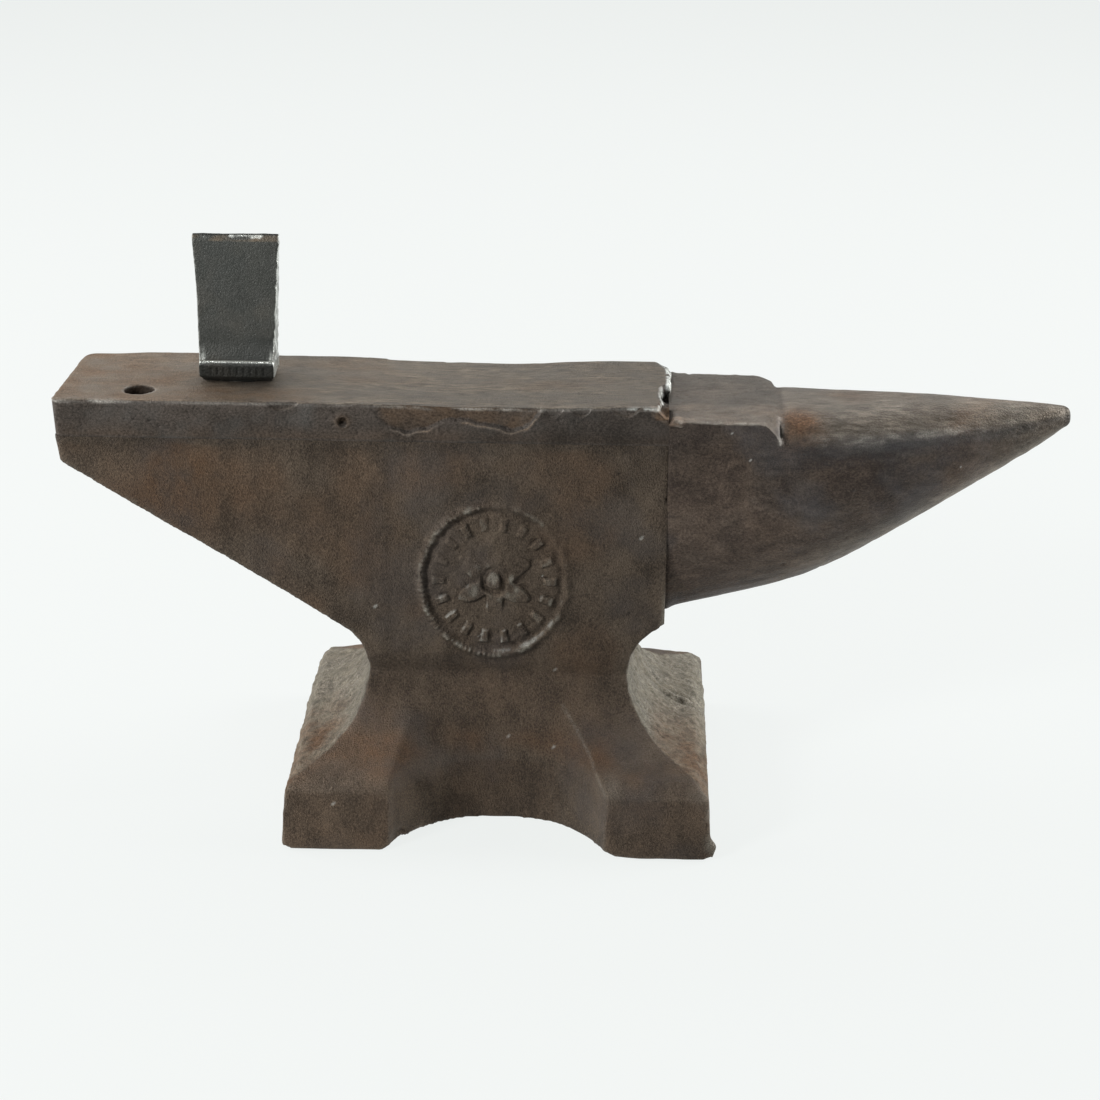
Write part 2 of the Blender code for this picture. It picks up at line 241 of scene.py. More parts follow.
class Surface:
    """Fine copy of a CAD node whose points are moved and masked with numpy."""

    def __init__(self, name):
        self.name = name
        self.piece = self.remesh(name)
        self.read()
        self.masks = {}

    def remesh(self, name):
        """New object with the node's shape in even quads."""
        shape = bmesh.new()
        shape.from_mesh(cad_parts[name].data)
        bmesh.ops.remove_doubles(shape, verts=shape.verts, dist=DOUBLES * MM)
        mesh = bpy.data.meshes.new(name + "_surface")
        shape.to_mesh(mesh)
        shape.free()
        rough = bpy.data.objects.new(name + "_rough", mesh)
        bpy.context.collection.objects.link(rough)
        modifier = rough.modifiers.new("fine", "REMESH")
        modifier.mode = "VOXEL"
        modifier.voxel_size = VOXELS[name] * MM
        shaped = rough.evaluated_get(bpy.context.evaluated_depsgraph_get())
        fine = bpy.data.meshes.new_from_object(shaped)
        bpy.data.objects.remove(rough, do_unlink=True)
        piece = bpy.data.objects.new("worn_" + name, fine)
        bpy.context.collection.objects.link(piece)
        return piece

    def refine(self, wanted):
        """Cut the quads of one region into four; wanted takes the points and says which count."""
        self.write()
        shape = bmesh.new()
        shape.from_mesh(self.piece.data)
        inside = wanted(self.points)
        edges = [edge for edge in shape.edges if all(inside[point.index] for point in edge.verts)]
        bmesh.ops.subdivide_edges(shape, edges=edges, cuts=1, use_grid_fill=True)
        shape.to_mesh(self.piece.data)
        shape.free()
        self.read()

    def read(self):
        """Take the points, and which are neighbours, from the mesh."""
        mesh = self.piece.data
        flat = np.empty(len(mesh.vertices) * 3)
        mesh.vertices.foreach_get("co", flat)
        self.points = flat.reshape(-1, 3) / MM
        pairs = np.empty(len(mesh.edges) * 2, dtype=int)
        mesh.edges.foreach_get("vertices", pairs)
        self.edges = pairs.reshape(-1, 2)
        self.neighbours = np.bincount(pairs, minlength=len(self.points))
        self.find_normals()

    def find_normals(self):
        """Normals of the points where they are now."""
        self.write()
        flat = np.empty(len(self.points) * 3)
        self.piece.data.vertex_normals.foreach_get("vector", flat)
        self.normals = flat.reshape(-1, 3)

    def write(self):
        """Put the points back into the mesh."""
        mesh = self.piece.data
        mesh.vertices.foreach_set("co", (self.points * MM).ravel())
        mesh.update()

    def average(self, values):
        """Mean of each point's neighbours."""
        first, second = self.edges.T
        count = len(values)
        total = np.bincount(first, values[second], count) + np.bincount(second, values[first], count)
        return total / self.neighbours

    def relax(self, weight, rounds):
        """Wear corners round: each point moves towards its neighbours."""
        for _ in range(rounds):
            middle = np.stack([self.average(self.points[:, axis]) for axis in range(3)], axis=1)
            self.points += (middle - self.points) * np.reshape(weight, (-1, 1)) * 0.5
        self.find_normals()

    def push(self, amount):
        """Move the points along their normals."""
        self.points += self.normals * np.reshape(amount, (-1, 1))

    def square_up(self, axis, level, where=True):
        """Put the points next to a contact plane exactly on it, so that the corner there stays sharp."""
        close = (np.abs(self.points[:, axis] - level) < VOXELS[self.name] * 0.95) & where
        self.points[close, axis] = level

    def curvature(self, spread=1):
        """Above 0 on ridges, below 0 in hollows, and about 1 on a sharp edge."""
        middle = np.stack([self.average(self.points[:, axis]) for axis in range(3)], axis=1)
        bend = -np.sum((middle - self.points) * self.normals, axis=1) / VOXELS[self.name] * 4
        for _ in range(spread):
            bend = 0.5 * (bend + self.average(bend))
        return bend

    def pit(self, rng, count, allowed, radius, depth):
        """Small round holes at random points of a region."""
        places = np.flatnonzero(allowed)
        for place in rng.choice(places, count, replace=False):
            size = rng.uniform(*radius)
            distance = np.linalg.norm(self.points - self.points[place], axis=1)
            near = distance < 3 * size
            hole = hump(distance[near], size) * rng.uniform(*depth)
            self.points[near] -= self.normals[near] * hole[:, None]

    def dust(self, rng, count, allowed):
        """Bright specks of bare metal at random points of a region."""
        places = rng.choice(np.flatnonzero(allowed), count, replace=False)
        self.masks["bare_and_glint"][places] = rng.uniform(0.3, 0.8, count)

    def finish(self, material, body):
        """Write the masks, and put the piece in its CAD node's place."""
        self.write()
        mesh = self.piece.data
        for name, values in self.masks.items():
            layer = mesh.attributes.new(name, "FLOAT", "POINT")
            layer.data.foreach_set("value", np.clip(values, 0.0, 2.0).astype(np.float32))
        mesh.shade_smooth()
        mesh.set_sharp_from_angle(angle=math.radians(SHARP_ANGLE))
        mesh.materials.clear()
        mesh.materials.append(material)
        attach(self.piece, body)
        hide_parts(self.name)

    def shade(self, amount):
        """Make the metal lighter, or darker where the amount is below 0."""
        self.masks["tone"] *= 1 + amount

    def mask_edges(self, wear_and_highlight, cavity):
        """Masks that any worn piece has: rubbed ridges and dark hollows."""
        self.find_normals()
        bend = self.curvature()
        self.masks["wear_and_highlight"] = rise(wear_and_highlight * 0.4, wear_and_highlight * 1.6, bend)
        self.masks["cavity"] = rise(-cavity * 0.2, -cavity * 1.4, bend)
        self.masks["tone"] = np.ones(len(self.points))
        for name in ("rust", "bare_and_glint", "polish_and_painted_light", "grey_and_sheen"):
            self.masks[name] = np.zeros(len(self.points))


# ---- body

def from_medallion(points):
    """Place on the medallion: across and up from its middle, 1 on its rim."""
    across = (points[:, 0] - MEDALLION_X) / MEDALLION_RADII[0]
    up = (points[:, 2] - MEDALLION_Z) / MEDALLION_RADII[1]
    return across, up


def medallion_radius(points):
    """Distance from the middle of the medallion, 1 on its rim."""
    return np.hypot(*from_medallion(points))


def medallion_rim(points, across, radius, angle):
    """Uneven rim, beaded on its left, with a groove inside it."""
    scale = MEDALLION_RADII[1]
    rim = RIM_HEIGHT * hump((radius - 0.98) * scale, RIM_WIDTH)
    rim *= 0.4 + 0.6 * rise(-0.5, 0.2, fractal(points, (10, 10, 14), 2, seed=33))
    beads = 0.16 * np.cos(RIM_BEADS * angle) * rise(0.3, -0.2, across)
    rim *= 1 + 0.45 * noise(points, 2.6, seed=36) + beads
    return rim - 0.6 * hump((radius - 0.895) * scale, 1.5)


def medallion_bars(radius, angle):
    """Ring of plain radial bars."""
    start, end = BAR_ENDS
    ring = rise(start - 0.02, start + 0.02, radius) * rise(end + 0.02, end - 0.02, radius)
    return ring * rise(0.25, 0.6, np.cos(BARS * angle))


def medallion_rosette(points, radius, angle):
    """Plain rosette with a knob in a dip, its outline a little ragged."""
    ragged = radius + 0.035 * noise(points, 4.0, seed=34) + 0.015 * noise(points, 2.0, seed=37)
    petals = 0.39 + 0.14 * np.cos(PETALS * (angle - math.pi / 2))
    rosette = rise(petals + 0.03, petals - 0.03, ragged)
    return rosette - 0.9 * rise(0.20, 0.16, ragged) + 1.3 * rise(0.11, 0.07, ragged)


def medallion_relief(place, points):
    """Height of the worn medallion at each place; the wear and the roughness keep to the points."""
    across, up = from_medallion(place)
    radius = np.hypot(across, up)
    angle = np.arctan2(up, across)
    worn = rise(-0.55, 0.15, fractal(points, 13, 3, seed=31) - 0.35 * rise(-0.1, 0.7, up))
    relief = medallion_rim(points, across, radius, angle)
    relief += BAR_HEIGHT * (0.5 + 0.5 * worn) * medallion_bars(radius, angle)
    relief += PETAL_HEIGHT * worn * medallion_rosette(points, radius, angle)
    rough = 0.9 * fractal(points, (7, 7, 6), 3, seed=35) + 0.35 * noise(points, 2.2, seed=38)
    return relief + rough * rise(1.0, 0.9, radius)


def side_ramps(points, out_z):
    """1 on the hollow ramps that lead out to the left and the right, 0 on their front and back."""
    x, y, z = points.T
    left, right = ((x - CREASE_X[side]) / (BASE_X[side] - CREASE_X[side]) for side in (0, 1))
    run = np.where(x < 0, left, right)
    ridge = BACK_Y + (BASE_Y - BACK_Y) * run
    level = rise(80, 74, z) * rise(26, 31, z)
    return level * rise(-0.08, 0.0, run) * rise(-0.3, 1.5, ridge - np.abs(y)) * (out_z > -0.2)


def round_heel(surface):
    """Round the upright corners of the heel's end, seen from above."""
    points = surface.points
    for side, radius in HEEL_CORNERS:
        edge = BACK_Y if side > 0 else FRONT_Y
        from_x = points[:, 0] - (HEEL_X + radius)
        from_y = (points[:, 1] - (edge - side * radius)) * side
        reach = np.hypot(from_x, from_y)
        outside = (from_x < 0) & (from_y > 0) & (reach > radius)
        scale = np.where(outside, radius / np.maximum(reach, 0.1), 1.0)
        points[:, 0] += from_x * (scale - 1)
        points[:, 1] += from_y * (scale - 1) * side


def detailed(points):
    """Where the body needs finer quads: the medallion, and the rough ramps to the left and the right."""
    x, y, z = points.T
    medallion = (medallion_radius(points) < 1.12) & (y < FRONT_Y + 1)
    ramps = (x < CREASE_X[0] - 2) | (x > CREASE_X[1] + 3)
    return medallion | ramps & (z > 29) & (z < 78)


def square_body(surface):
    """Sharp contact with the plate and the horn, round corners everywhere else."""
    near_top = surface.points[:, 2] > BODY_HIGH[2] - 4
    surface.square_up(1, FRONT_Y, near_top)
    surface.square_up(1, BACK_Y, near_top)
    surface.square_up(0, SEAM_X, surface.points[:, 2] > 100)
    surface.square_up(2, BODY_HIGH[2])
    round_heel(surface)
    x, _, z = surface.points.T
    z[z > BODY_HIGH[2] - 0.01] = PLATE_BOTTOM - CLOSED_GAP
    top = rise(BODY_HIGH[2] - 2, BODY_HIGH[2] - 6, z)
    base = rise(82, 66, z)
    surface.relax(base, BASE_ROUNDING)
    surface.relax(top * (1 - base) * rise(SEAM_X - 1, SEAM_X - 6, x), 3)
    surface.refine(detailed)


def casting_grain(points, normals):
    """How far the sand of the mould left the casting proud or low, and the crease above the ramps."""
    x, _, z = points.T
    side = np.abs(normals[:, 1])
    upright = rise(0.6, 0.9, side)
    ramps = side_ramps(points, normals[:, 2])
    amount = 0.35 * fractal(points, 45, 3, seed=1) * (1 + rise(80, 66, z))
    amount += 0.30 * fractal(points, (8, 8, 13), 3, seed=4)
    amount += 0.17 * noise(points, (3.0, 3.0, 5.0), seed=8) * (1 + 0.5 * upright)
    amount += ramps * (0.8 * fractal(points, 8, 3, seed=12) + 0.6 * fractal(points, 2.6, 2, seed=15))
    left, right = CREASE_X
    in_crease = rise(left - 1, left + 3, x) * rise(right + 3, right - 2, x)
    level = CREASE_Z + 0.8 * noise(points, 18, seed=21)
    amount -= 0.7 * hump(z - level, 2.2) * in_crease * rise(0.5, 0.8, side)
    amount -= 1.3 * hump(x - left - 1, 2.6) * hump(z - CREASE_Z - 1, 4.0)
    flutes = 0.35 * hump(x + 106 - 0.16 * (z - 90), 5) - 0.3 * hump(x + 84, 2.2)
    return amount + flutes * upright * (points[:, 1] < 0) * rise(74, 84, z)


def add_medallion(surface, front):
    """Raise the medallion, and note how its slopes face the light, for the painted light and shade on them.
    """
    points = surface.points
    within = front * rise(1.14, 1.08, medallion_radius(points))
    shift = np.array((MEDALLION_LIGHT_STEP, 0.0, -MEDALLION_LIGHT_STEP))
    surface.relief = medallion_relief(points, points) * within
    surface.lee = surface.relief - medallion_relief(points - shift, points) * within
    points[:, 1] -= surface.relief


def shape_body(surface):
    """Cast body: rounded base, crease above the ramps, seam edge, and the grain of a sand casting."""
    square_body(surface)
    _, y, z = surface.points.T
    surface.find_normals()
    normals = surface.normals
    front = rise(0.6, 0.9, np.abs(normals[:, 1])) * (y < 0)
    free = rise(BODY_HIGH[2], BODY_HIGH[2] - 3, z) * (0.25 + 0.75 * rise(0.0, 3.0, z))
    surface.push(casting_grain(surface.points, normals) * free)
    add_medallion(surface, front)
    add_casting_lump(surface)
    add_foot_marks(surface)
    skew_heel(surface)
    surface.find_normals()
    add_pits(surface, np.abs(normals[:, 2]) < 0.9)
    z[:] = np.maximum(z, BODY_LOW[2])


def add_pits(surface, upright):
    """Pinholes in the casting, and a few larger ones on the waist."""
    x, _, z = surface.points.T
    rng = np.random.default_rng(3)
    walls = (z > 8) & (z < BODY_HIGH[2] - 6) & upright
    surface.pit(rng, 120, walls, (0.7, 1.5), (0.25, 0.7))
    surface.pit(rng, 14, walls & (x > -90) & (z > 80), (1.2, 2.0), (0.5, 0.9))


def add_casting_lump(surface):
    """Long raised scar on the right ramp with a sunken line along its lower side."""
    x, y, z = surface.points.T
    turn = math.radians(LUMP_TURN)
    along = (x - LUMP[0]) * math.cos(turn) + (y - LUMP[1]) * math.sin(turn)
    across = (y - LUMP[1]) * math.cos(turn) - (x - LUMP[0]) * math.sin(turn)
    across = across + 1.6 * noise(surface.points, 7, seed=41)
    here = rise(75, 68, z) * rise(30, 36, z) * rise(30, 40, x)
    ridge = sum(height * hump(across - place, width) for place, height, width in LUMP_PROFILE)
    surface.lump = hump(along, LUMP_LENGTH) * here * ridge * (0.75 + 0.5 * noise(surface.points, 5, seed=43))
    surface.push(surface.lump)


def add_foot_marks(surface):
    """Flash lip on the right foot, notch in the left one, and wavy lower edges with rounded corners."""
    x, y, z = surface.points.T
    lip = rise(BODY_HIGH[0] - 3, BODY_HIGH[0] - 0.5, x) * rise(-72, -82, y) * hump(z - 5.0, 4.5)
    x += 3.2 * lip
    z += 2.2 * lip
    notch = hump(x + 79.5, 3.2) * rise(-60, -72, y) * rise(9, 3, z)
    y += 3.4 * notch
    outward = rise(0.2, 0.9, np.abs(surface.normals[:, 1]) + np.abs(surface.normals[:, 0]))
    z += rise(10, 2, z) * outward * (0.4 + 0.7 * noise(surface.points, (14, 14, 40), seed=47))
    for corner, run, height in FOOT_CORNERS:
        lift = height * (1 - rise(0, run, np.abs(x - corner))) ** 1.5 * rise(54, 66, -y)
        z[:] = np.maximum(z, lift)
    y += 1.6 * np.sign(y) * rise(50, 5, z) * rise(50, 74, np.abs(y))
    y -= 3.0 * rise(60, 5, z) * rise(-50, -74, y) * rise(14, 40, x)
    x -= 1.8 * rise(-100, -125, x) * rise(80, 50, z)
    back = rise(55, 80, y) * rise(8, 34, z)
    z -= back * (2.8 * rise(-104, -126, x) + 2.0 * rise(38, 64, x))


def skew_heel(surface):
    """The heel's end stands slightly askew, its back shorter than its front, and its underside sags."""
    x, y, z = surface.points.T
    part = rise(HEEL_X + 40, HEEL_X, x)
    lean = HEEL_STEP
    if surface.name == "face_plate":
        lean = HEEL_TAPER * np.clip((FACE_Z - z) / (FACE_Z - PLATE_BOTTOM), 0, 1)
    x += part * (2.6 * (y - FRONT_Y) / (BACK_Y - FRONT_Y) - 1.2 + lean)
    under = rise(0.0, -0.5, surface.normals[:, 2]) * (z > 95) * (z < PLATE_BOTTOM - 3)
    z -= 1.6 * under * rise(-150, -205, x)


def mask_walls(surface):
    """Rust and tones of the heel, the waist and the feet's fronts, painted shade above the crease, and
    painted light on the lower body to the left and the right.
    """
    points, masks = surface.points, surface.masks
    x, _, z = points.T
    side = np.abs(surface.normals[:, 1])
    high = rise(80, 90, z)
    base = rise(80, 66, z)
    heel = hump(x + 180, 38) * hump(z - 172, 22)
    waist = hump(x + 32, 40) * hump(z - 62, 20)
    foot_front = rise(31, 28, z) * rise(0.8, 0.95, side)
    patches = rise(-0.1, 0.5, fractal(points, 34, 3, seed=51) + 0.5 * heel)
    masks["rust"] = 0.45 * patches * (1 - 0.7 * base) + 0.45 * heel
    masks["rust"] += 0.8 * base * hump(z - 40, 6) * rise(-0.5, 0.4, fractal(points, 20, 2, seed=53))
    masks["rust"] += 0.15 * hump(x + 90, 12) * base + 0.28 * waist + 0.25 * foot_front
    masks["tone"] = 1 + 0.14 * fractal(points, 60, 3, seed=55) + 0.10 * hump(z - 178, 12) * (x < -60)
    on_medallion = rise(1.1, 0.9, medallion_radius(points))
    surface.shade(-0.08 * hump(x, 50) * rise(170, 120, z) * high)
    surface.shade(0.10 * rise(-20, -80, x) * high + 0.10 * on_medallion)
    surface.shade(0.06 * waist)
    surface.shade(-0.22 * rise(BODY_HIGH[2] - 9, BODY_HIGH[2], z))
    # Painted shade: a darker band just above the crease.
    surface.shade(-0.16 * hump(z - CREASE_Z - 4, 6) * (side > 0.6))
    # Painted light: the lower body lighter to the left and the right, as light from the floor would make it.
    surface.shade(0.42 * rise(66, 40, z) * rise(-40, -90, x))
    surface.shade(0.15 * rise(66, 40, z) * rise(-10, 30, x))
    surface.shade(-0.16 * foot_front)


def mask_ramps(surface, near_plate):
    """Dark blotches, rust and pale borders of the ramps to the left and the right, with painted light on
    them as they face up, painted shade on the left one and painted light on the right one.
    """
    points, masks = surface.points, surface.masks
    x, y, z = points.T
    on_ramp = side_ramps(points, surface.normals[:, 2])
    rusty = rise(20, -45, y) * rise(50, 36, z + 4 * noise(points, 12, seed=56))
    masks["rust"] *= 1 - 0.9 * on_ramp
    masks["rust"] += on_ramp * (0.8 * rusty + 0.14 * (x < 0))
    masks["rust"] *= 1 - near_plate
    # Painted light: the ramps face up, so they take the lighter colour of rubbed metal.
    masks["polish_and_painted_light"] = on_ramp
    # Painted shade on the left ramp, painted light on the right one.
    surface.shade(on_ramp * np.where(x < 0, -0.16, 0.22))
    blotches = 0.2 * fractal(points, (5, 5, 5), 3, seed=59) + 0.5 * fractal(points, 1.9, 2, seed=52)
    surface.shade(on_ramp * blotches)
    border = 4 * on_ramp * (1 - on_ramp) * rise(-0.4, 0.3, noise(points, 6, seed=49))
    masks["wear_and_highlight"] += 0.4 * border * rise(40, 50, z) * (y < 0)


def mask_medallion(surface):
    """Worn heights, dark ground, painted light on slopes that face the light and painted shade on the
    others, and painted glints on the most lit slopes of its lower half.
    """
    points, masks = surface.points, surface.masks
    raised = rise(0.9, 2.0, surface.relief) * rise(-0.1, 0.4, fractal(points, (4, 4, 6), 2, seed=57))
    masks["wear_and_highlight"] = np.maximum(masks["wear_and_highlight"], 0.8 * raised)
    masks["cavity"] = np.maximum(masks["cavity"], 0.25 * rise(-0.3, -1.3, surface.relief))
    painted_light_patches = 0.35 + 0.65 * rise(-0.5, 0.4, noise(points, 3.4, seed=45))
    # Painted light and shade: slopes that face the light lighter, the others darker, in patches.
    surface.shade(0.66 * painted_light_patches * np.clip(surface.lee, -0.5, 0.9))
    # Painted glints on the slopes that face the light most, in the lower half.
    painted_glints = rise(0.5, 1.0, surface.lee) * rise(0.0, 0.35, fractal(points, (5, 5, 5), 2, seed=60))
    masks["bare_and_glint"] = 0.5 * painted_glints * rise(MEDALLION_Z + 12, MEDALLION_Z - 12, points[:, 2])


def mask_foot_marks(surface):
    """Casting scar, a rubbed corner of the right foot with painted highlights on its upper corners, and the
    scratch above it.
    """
    points, masks = surface.points, surface.masks
    x, y, z = points.T
    surface.shade(0.22 * np.clip(surface.lump, -1.0, 1.8))
    masks["cavity"] *= 1 - 0.75 * rise(0.1, 0.6, np.abs(surface.lump))
    corner = hump(x - BODY_HIGH[0], 3.0) * rise(-70, -78, y) * rise(2, 6, z) * (z < FOOT_TOP + 4)
    masks["wear_and_highlight"] += 0.6 * corner * rise(-0.5, 0.3, fractal(points, (3, 3, 4), 2, seed=54))
    # Painted highlights on the upper corners of the right foot's front.
    for place in RIGHT_FOOT_CORNERS:
        masks["wear_and_highlight"] += 0.22 * hump(x - place, 5) * hump(z - 33, 5) * (y < -66)
    from_x, from_z = x - SCRATCH_END[0], z - SCRATCH_END[1]
    across = SCRATCH_ACROSS[0] * from_x + SCRATCH_ACROSS[1] * from_z
    scratch = hump(across, 0.7) * (from_x < 0) * (from_x > -SCRATCH_RUN) * (y < -40)
    masks["wear_and_highlight"] += 0.42 * scratch * rise(-0.9, 0.0, noise(points, 5, seed=50))


def mask_body(surface):
    """Masks of the casting."""
    surface.mask_edges(wear_and_highlight=0.8, cavity=0.7)
    points, masks = surface.points, surface.masks
    x, _, z = points.T
    mask_walls(surface)
    near_plate = rise(BODY_HIGH[2] - 4, BODY_HIGH[2] - 1.5, z + 2 * noise(points, 7, seed=58))
    masks["wear_and_highlight"] *= 1 - near_plate
    masks["cavity"] *= 1 - near_plate
    mask_ramps(surface, near_plate)
    mask_medallion(surface)
    mask_foot_marks(surface)
    masks["wear_and_highlight"] *= 1 - rise(SEAM_X - 4, SEAM_X - 1, x) * rise(104, 122, z)
    walls = (np.abs(surface.normals[:, 1]) > 0.8) & (z > 12) & (z < 180)
    surface.dust(np.random.default_rng(21), 16, walls)


# ---- face plate

def face_level(x):
    """Level of the face, which sways a little towards the horn."""
    return FACE_Z - SWAY * rise(SWAY_X[0], SWAY_X[1], x) * rise(SWAY_X[3], SWAY_X[2], x)


def break_line(points, beyond):
    """Height above the lower line of the break; beyond is the line's level where nothing is broken."""
    line_x, line_z = zip(*SPALL)
    level = np.interp(points[:, 0], line_x, line_z, left=beyond, right=beyond)
    return points[:, 2] - level + 0.8 * noise(points, 5.5, seed=61) + 0.4 * noise(points, 1.9, seed=62)


def broken_depth(points):
    """How far the front of the face plate is broken back."""
    x, _, z = points.T
    inside = break_line(points, FACE_Z + 9)
    shells = 0.75 + 0.35 * fractal(points, (11, 11, 7), 2, seed=63) + 0.25 * rise(198, FACE_Z, z)
    depth = SPALL_DEPTH * rise(-0.4, 2.2, inside) * shells
    depth *= rise(SPALL[0][0] - 2, SPALL[0][0] + 16, x)
    for middle, half, drop in CHIPS:
        line = FACE_Z - drop * (1 - ((x - middle) / half) ** 2)
        ragged = 0.5 * noise(points, 4.0, seed=64)
        chip = CHIP_DEPTH * rise(-0.3, 1.2, z - line + ragged) * (np.abs(x - middle) < half)
        depth = np.maximum(depth, chip)
    return depth


def tear_line(y):
    """Where the upper edge of the torn end runs at each depth Y."""
    line_y, line_x = zip(*TEAR)
    return np.interp(y, line_y, line_x)


def broken_edge(points):
    """Where the plate needs finer quads: along its front edge, and at its torn end."""
    x, y, z = points.T
    front = (z > max(PLATE_BOTTOM + 1, TABLE_Z - 14)) & (y < FRONT_Y + 3)
    return front | (z > TABLE_Z - 2) & (x > SEAM_X - 9)


def square_plate(surface):
    """Sharp contact with the body and the horn, rounded upper edges."""
    x, y, z = surface.points.T
    near_bottom = z < PLATE_BOTTOM + 4
    surface.square_up(1, FRONT_Y, near_bottom)
    surface.square_up(1, BACK_Y, near_bottom)
    surface.square_up(0, SEAM_X, z < TABLE_Z)
    surface.square_up(2, PLATE_BOTTOM)
    edge = rise(PLATE_BOTTOM + 4, PLATE_BOTTOM + 8, z)
    by_hole = (np.abs(x - TOOL_X) < HOLE_MARGIN) & (np.abs(y - TOOL_Y) < HOLE_MARGIN)
    at_seam = rise(SEAM_X - 5, SEAM_X - 2, x) * (z < TABLE_Z - 1)
    surface.relax(edge * ~by_hole * (1 - at_seam), 3)
    surface.relax(edge * rise(HEEL_X + 10, HEEL_X + 3, x), 6)
    round_heel(surface)
    surface.refine(broken_edge)


def shape_plate(surface):
    """Face plate: rounded edges, a break along its front, a torn end, and a face worn by hammering."""
    square_plate(surface)
    points = surface.points
    x, y, z = points.T
    depth = broken_depth(points)
    y[:] = np.maximum(y, FRONT_Y + depth)
    surface.find_normals()
    _, out_y, out_z = surface.normals.T
    upper = rise(0.7, 0.95, out_z) * (z > FACE_Z - 6)
    sides = rise(0.6, 0.9, np.abs(out_y))
    edges = rise(0.15, 0.4, out_z) * rise(0.97, 0.85, out_z) * (z > FACE_Z - 6)
    broken = rise(0.3, 1.0, depth) * sides
    amount = 0.10 * fractal(points, (30, 12, 12), 2, seed=71) * upper
    amount += sides * (0.22 * fractal(points, 24, 3, seed=73) + 0.09 * fractal(points, 4, 2, seed=75))
    amount += edges * 0.32 * fractal(points, (9, 4, 4), 2, seed=77)
    amount += broken * 0.28 * fractal(points, (5, 5, 3.4), 3, seed=79)
    amount += (y < FRONT_Y + 3) * blow_hole(points)
    free = rise(PLATE_BOTTOM, PLATE_BOTTOM + 2, z) * (0.3 + 0.7 * rise(SEAM_X - 0.5, SEAM_X - 3, x))
    surface.push(amount * free)
    lower_break_line(surface)
    bend_back_edge(surface)
    tear_end(surface)
    skew_heel(surface)
    surface.find_normals()
    rng = np.random.default_rng(5)
    walls = (sides > 0.5) & (z > PLATE_BOTTOM + 3) & (z < FACE_Z - 4)
    surface.pit(rng, 40, walls, (0.5, 1.1), (0.2, 0.6))
    surface.pit(rng, 30, upper > 0.9, (0.5, 1.2), (0.06, 0.2))


def from_blow_hole(points):
    """Distance from the middle of the blow hole in the plate's front."""
    return np.hypot(points[:, 0] - BLOW_HOLE[0], points[:, 2] - BLOW_HOLE[1])


def blow_hole(points):
    """Round hole in the plate's front with a slightly raised rim."""
    distance = from_blow_hole(points)
    rim = 0.35 * hump(distance - BLOW_HOLE_RADIUS - 0.8, 0.9)
    return rim - 2.6 * rise(BLOW_HOLE_RADIUS + 0.4, BLOW_HOLE_RADIUS - 1.4, distance)


def lower_break_line(surface):
    """Raised lip and a few short runs of metal along the lower line of the break."""
    points = surface.points
    x, y, _ = points.T
    away = break_line(points, 0)
    on_front = y < FRONT_Y + 1.2
    y -= 0.4 * hump(away + 0.6, 0.7) * on_front * (0.5 + 0.6 * noise(points, 6, seed=81))
    for place, length in BREAK_RUNS:
        run = hump(x - place, 0.6) * rise(-length, -length + 1.5, away) * (away < 0.5)
        y -= 0.3 * run * on_front


def bend_back_edge(surface):
    """The back edge stands a little proud by the hardy hole, and is worn down in the middle."""
    x, y, z = surface.points.T
    back = rise(6, BACK_Y, y) * rise(PLATE_BOTTOM + 6, FACE_Z - 2, z)
    bend = 0.8 * rise(-228, -205, x) * rise(-140, -160, x)
    bend -= 1.1 * rise(-115, -80, x) * rise(0, -30, x)
    corner = rise(SEAM_X - 7, SEAM_X, x) * rise(BACK_Y - 12, BACK_Y, y)
    z += back * bend - 3.0 * corner * rise(FACE_Z - 12, FACE_Z, z)


def from_cavity(points):
    """Distance from the middle of the hole in the tear, 1 on its outline."""
    (middle_x, middle_y), (half_x, half_y) = CAVITY
    return np.hypot((points[:, 0] - middle_x) / half_x, (points[:, 1] - middle_y) / half_y)


def tear_end(surface):
    """Ragged strip at the horn end of the face, with a cavity in it."""
    points = surface.points
    x, y, z = points.T
    past = x - tear_line(y) + 0.9 * noise(points, 3.2, seed=85)
    ragged = fractal(points, (4, 3, 4), 3, seed=87)
    limit = FACE_Z - (1.7 - 1.5 * ragged) * rise(-0.2, 1.0, past)
    limit -= 5.0 * rise(1.1, 0.75, from_cavity(points) + 0.25 * ragged)
    limit = np.where(x > SEAM_X - 9, limit, FACE_Z + 9)
    z[:] = np.minimum(z, np.maximum(limit, TABLE_Z - 3))
    lip = rise(-9, 2, y) * rise(34, 22, y) * rise(SEAM_X - 3, SEAM_X, x)
    x += lip * rise(TABLE_Z + 0.3, TABLE_Z + 2, z) * (1.1 + 0.8 * ragged)
    tuck = rise(FRONT_Y + 9, FRONT_Y + 3, y) * rise(SEAM_X - 6, SEAM_X - 1, x)
    z -= tuck * rise(FACE_Z - 9, FACE_Z, z) * (4.0 + 1.5 * ragged)


def mask_face(surface, upper, patches):
    """Rubbed face: rust at the heel and by the hardy, grey patches, and streaks along it."""
    points, masks = surface.points, surface.masks
    x, y, _ = points.T
    masks["rust"] = upper * (0.4 * rise(-0.1, 0.6, patches) + 0.6 * rise(-120, -215, x))
    masks["rust"] += upper * hump(x + 146, 24) * hump(y - FRONT_Y - 12, 9)
    masks["grey_and_sheen"] = 0.5 * upper * rise(0.15, 0.6, fractal(points, (26, 9, 9), 3, seed=96))
    masks["tone"] = 1 + 0.16 * patches + 0.16 * fractal(points, (30, 4, 3), 3, seed=92) * upper
    surface.shade(0.10 * noise(points, (4, 2, 2), seed=99) * upper)
    surface.shade(-0.12 * upper * rise(-90, 20, x))
    surface.shade(0.34 * upper * rise(-110, -235, x))
    surface.shade(-0.35 * upper * hump(x - TOOL_X - 4, 24) * hump(y - TOOL_Y + 12, 11))


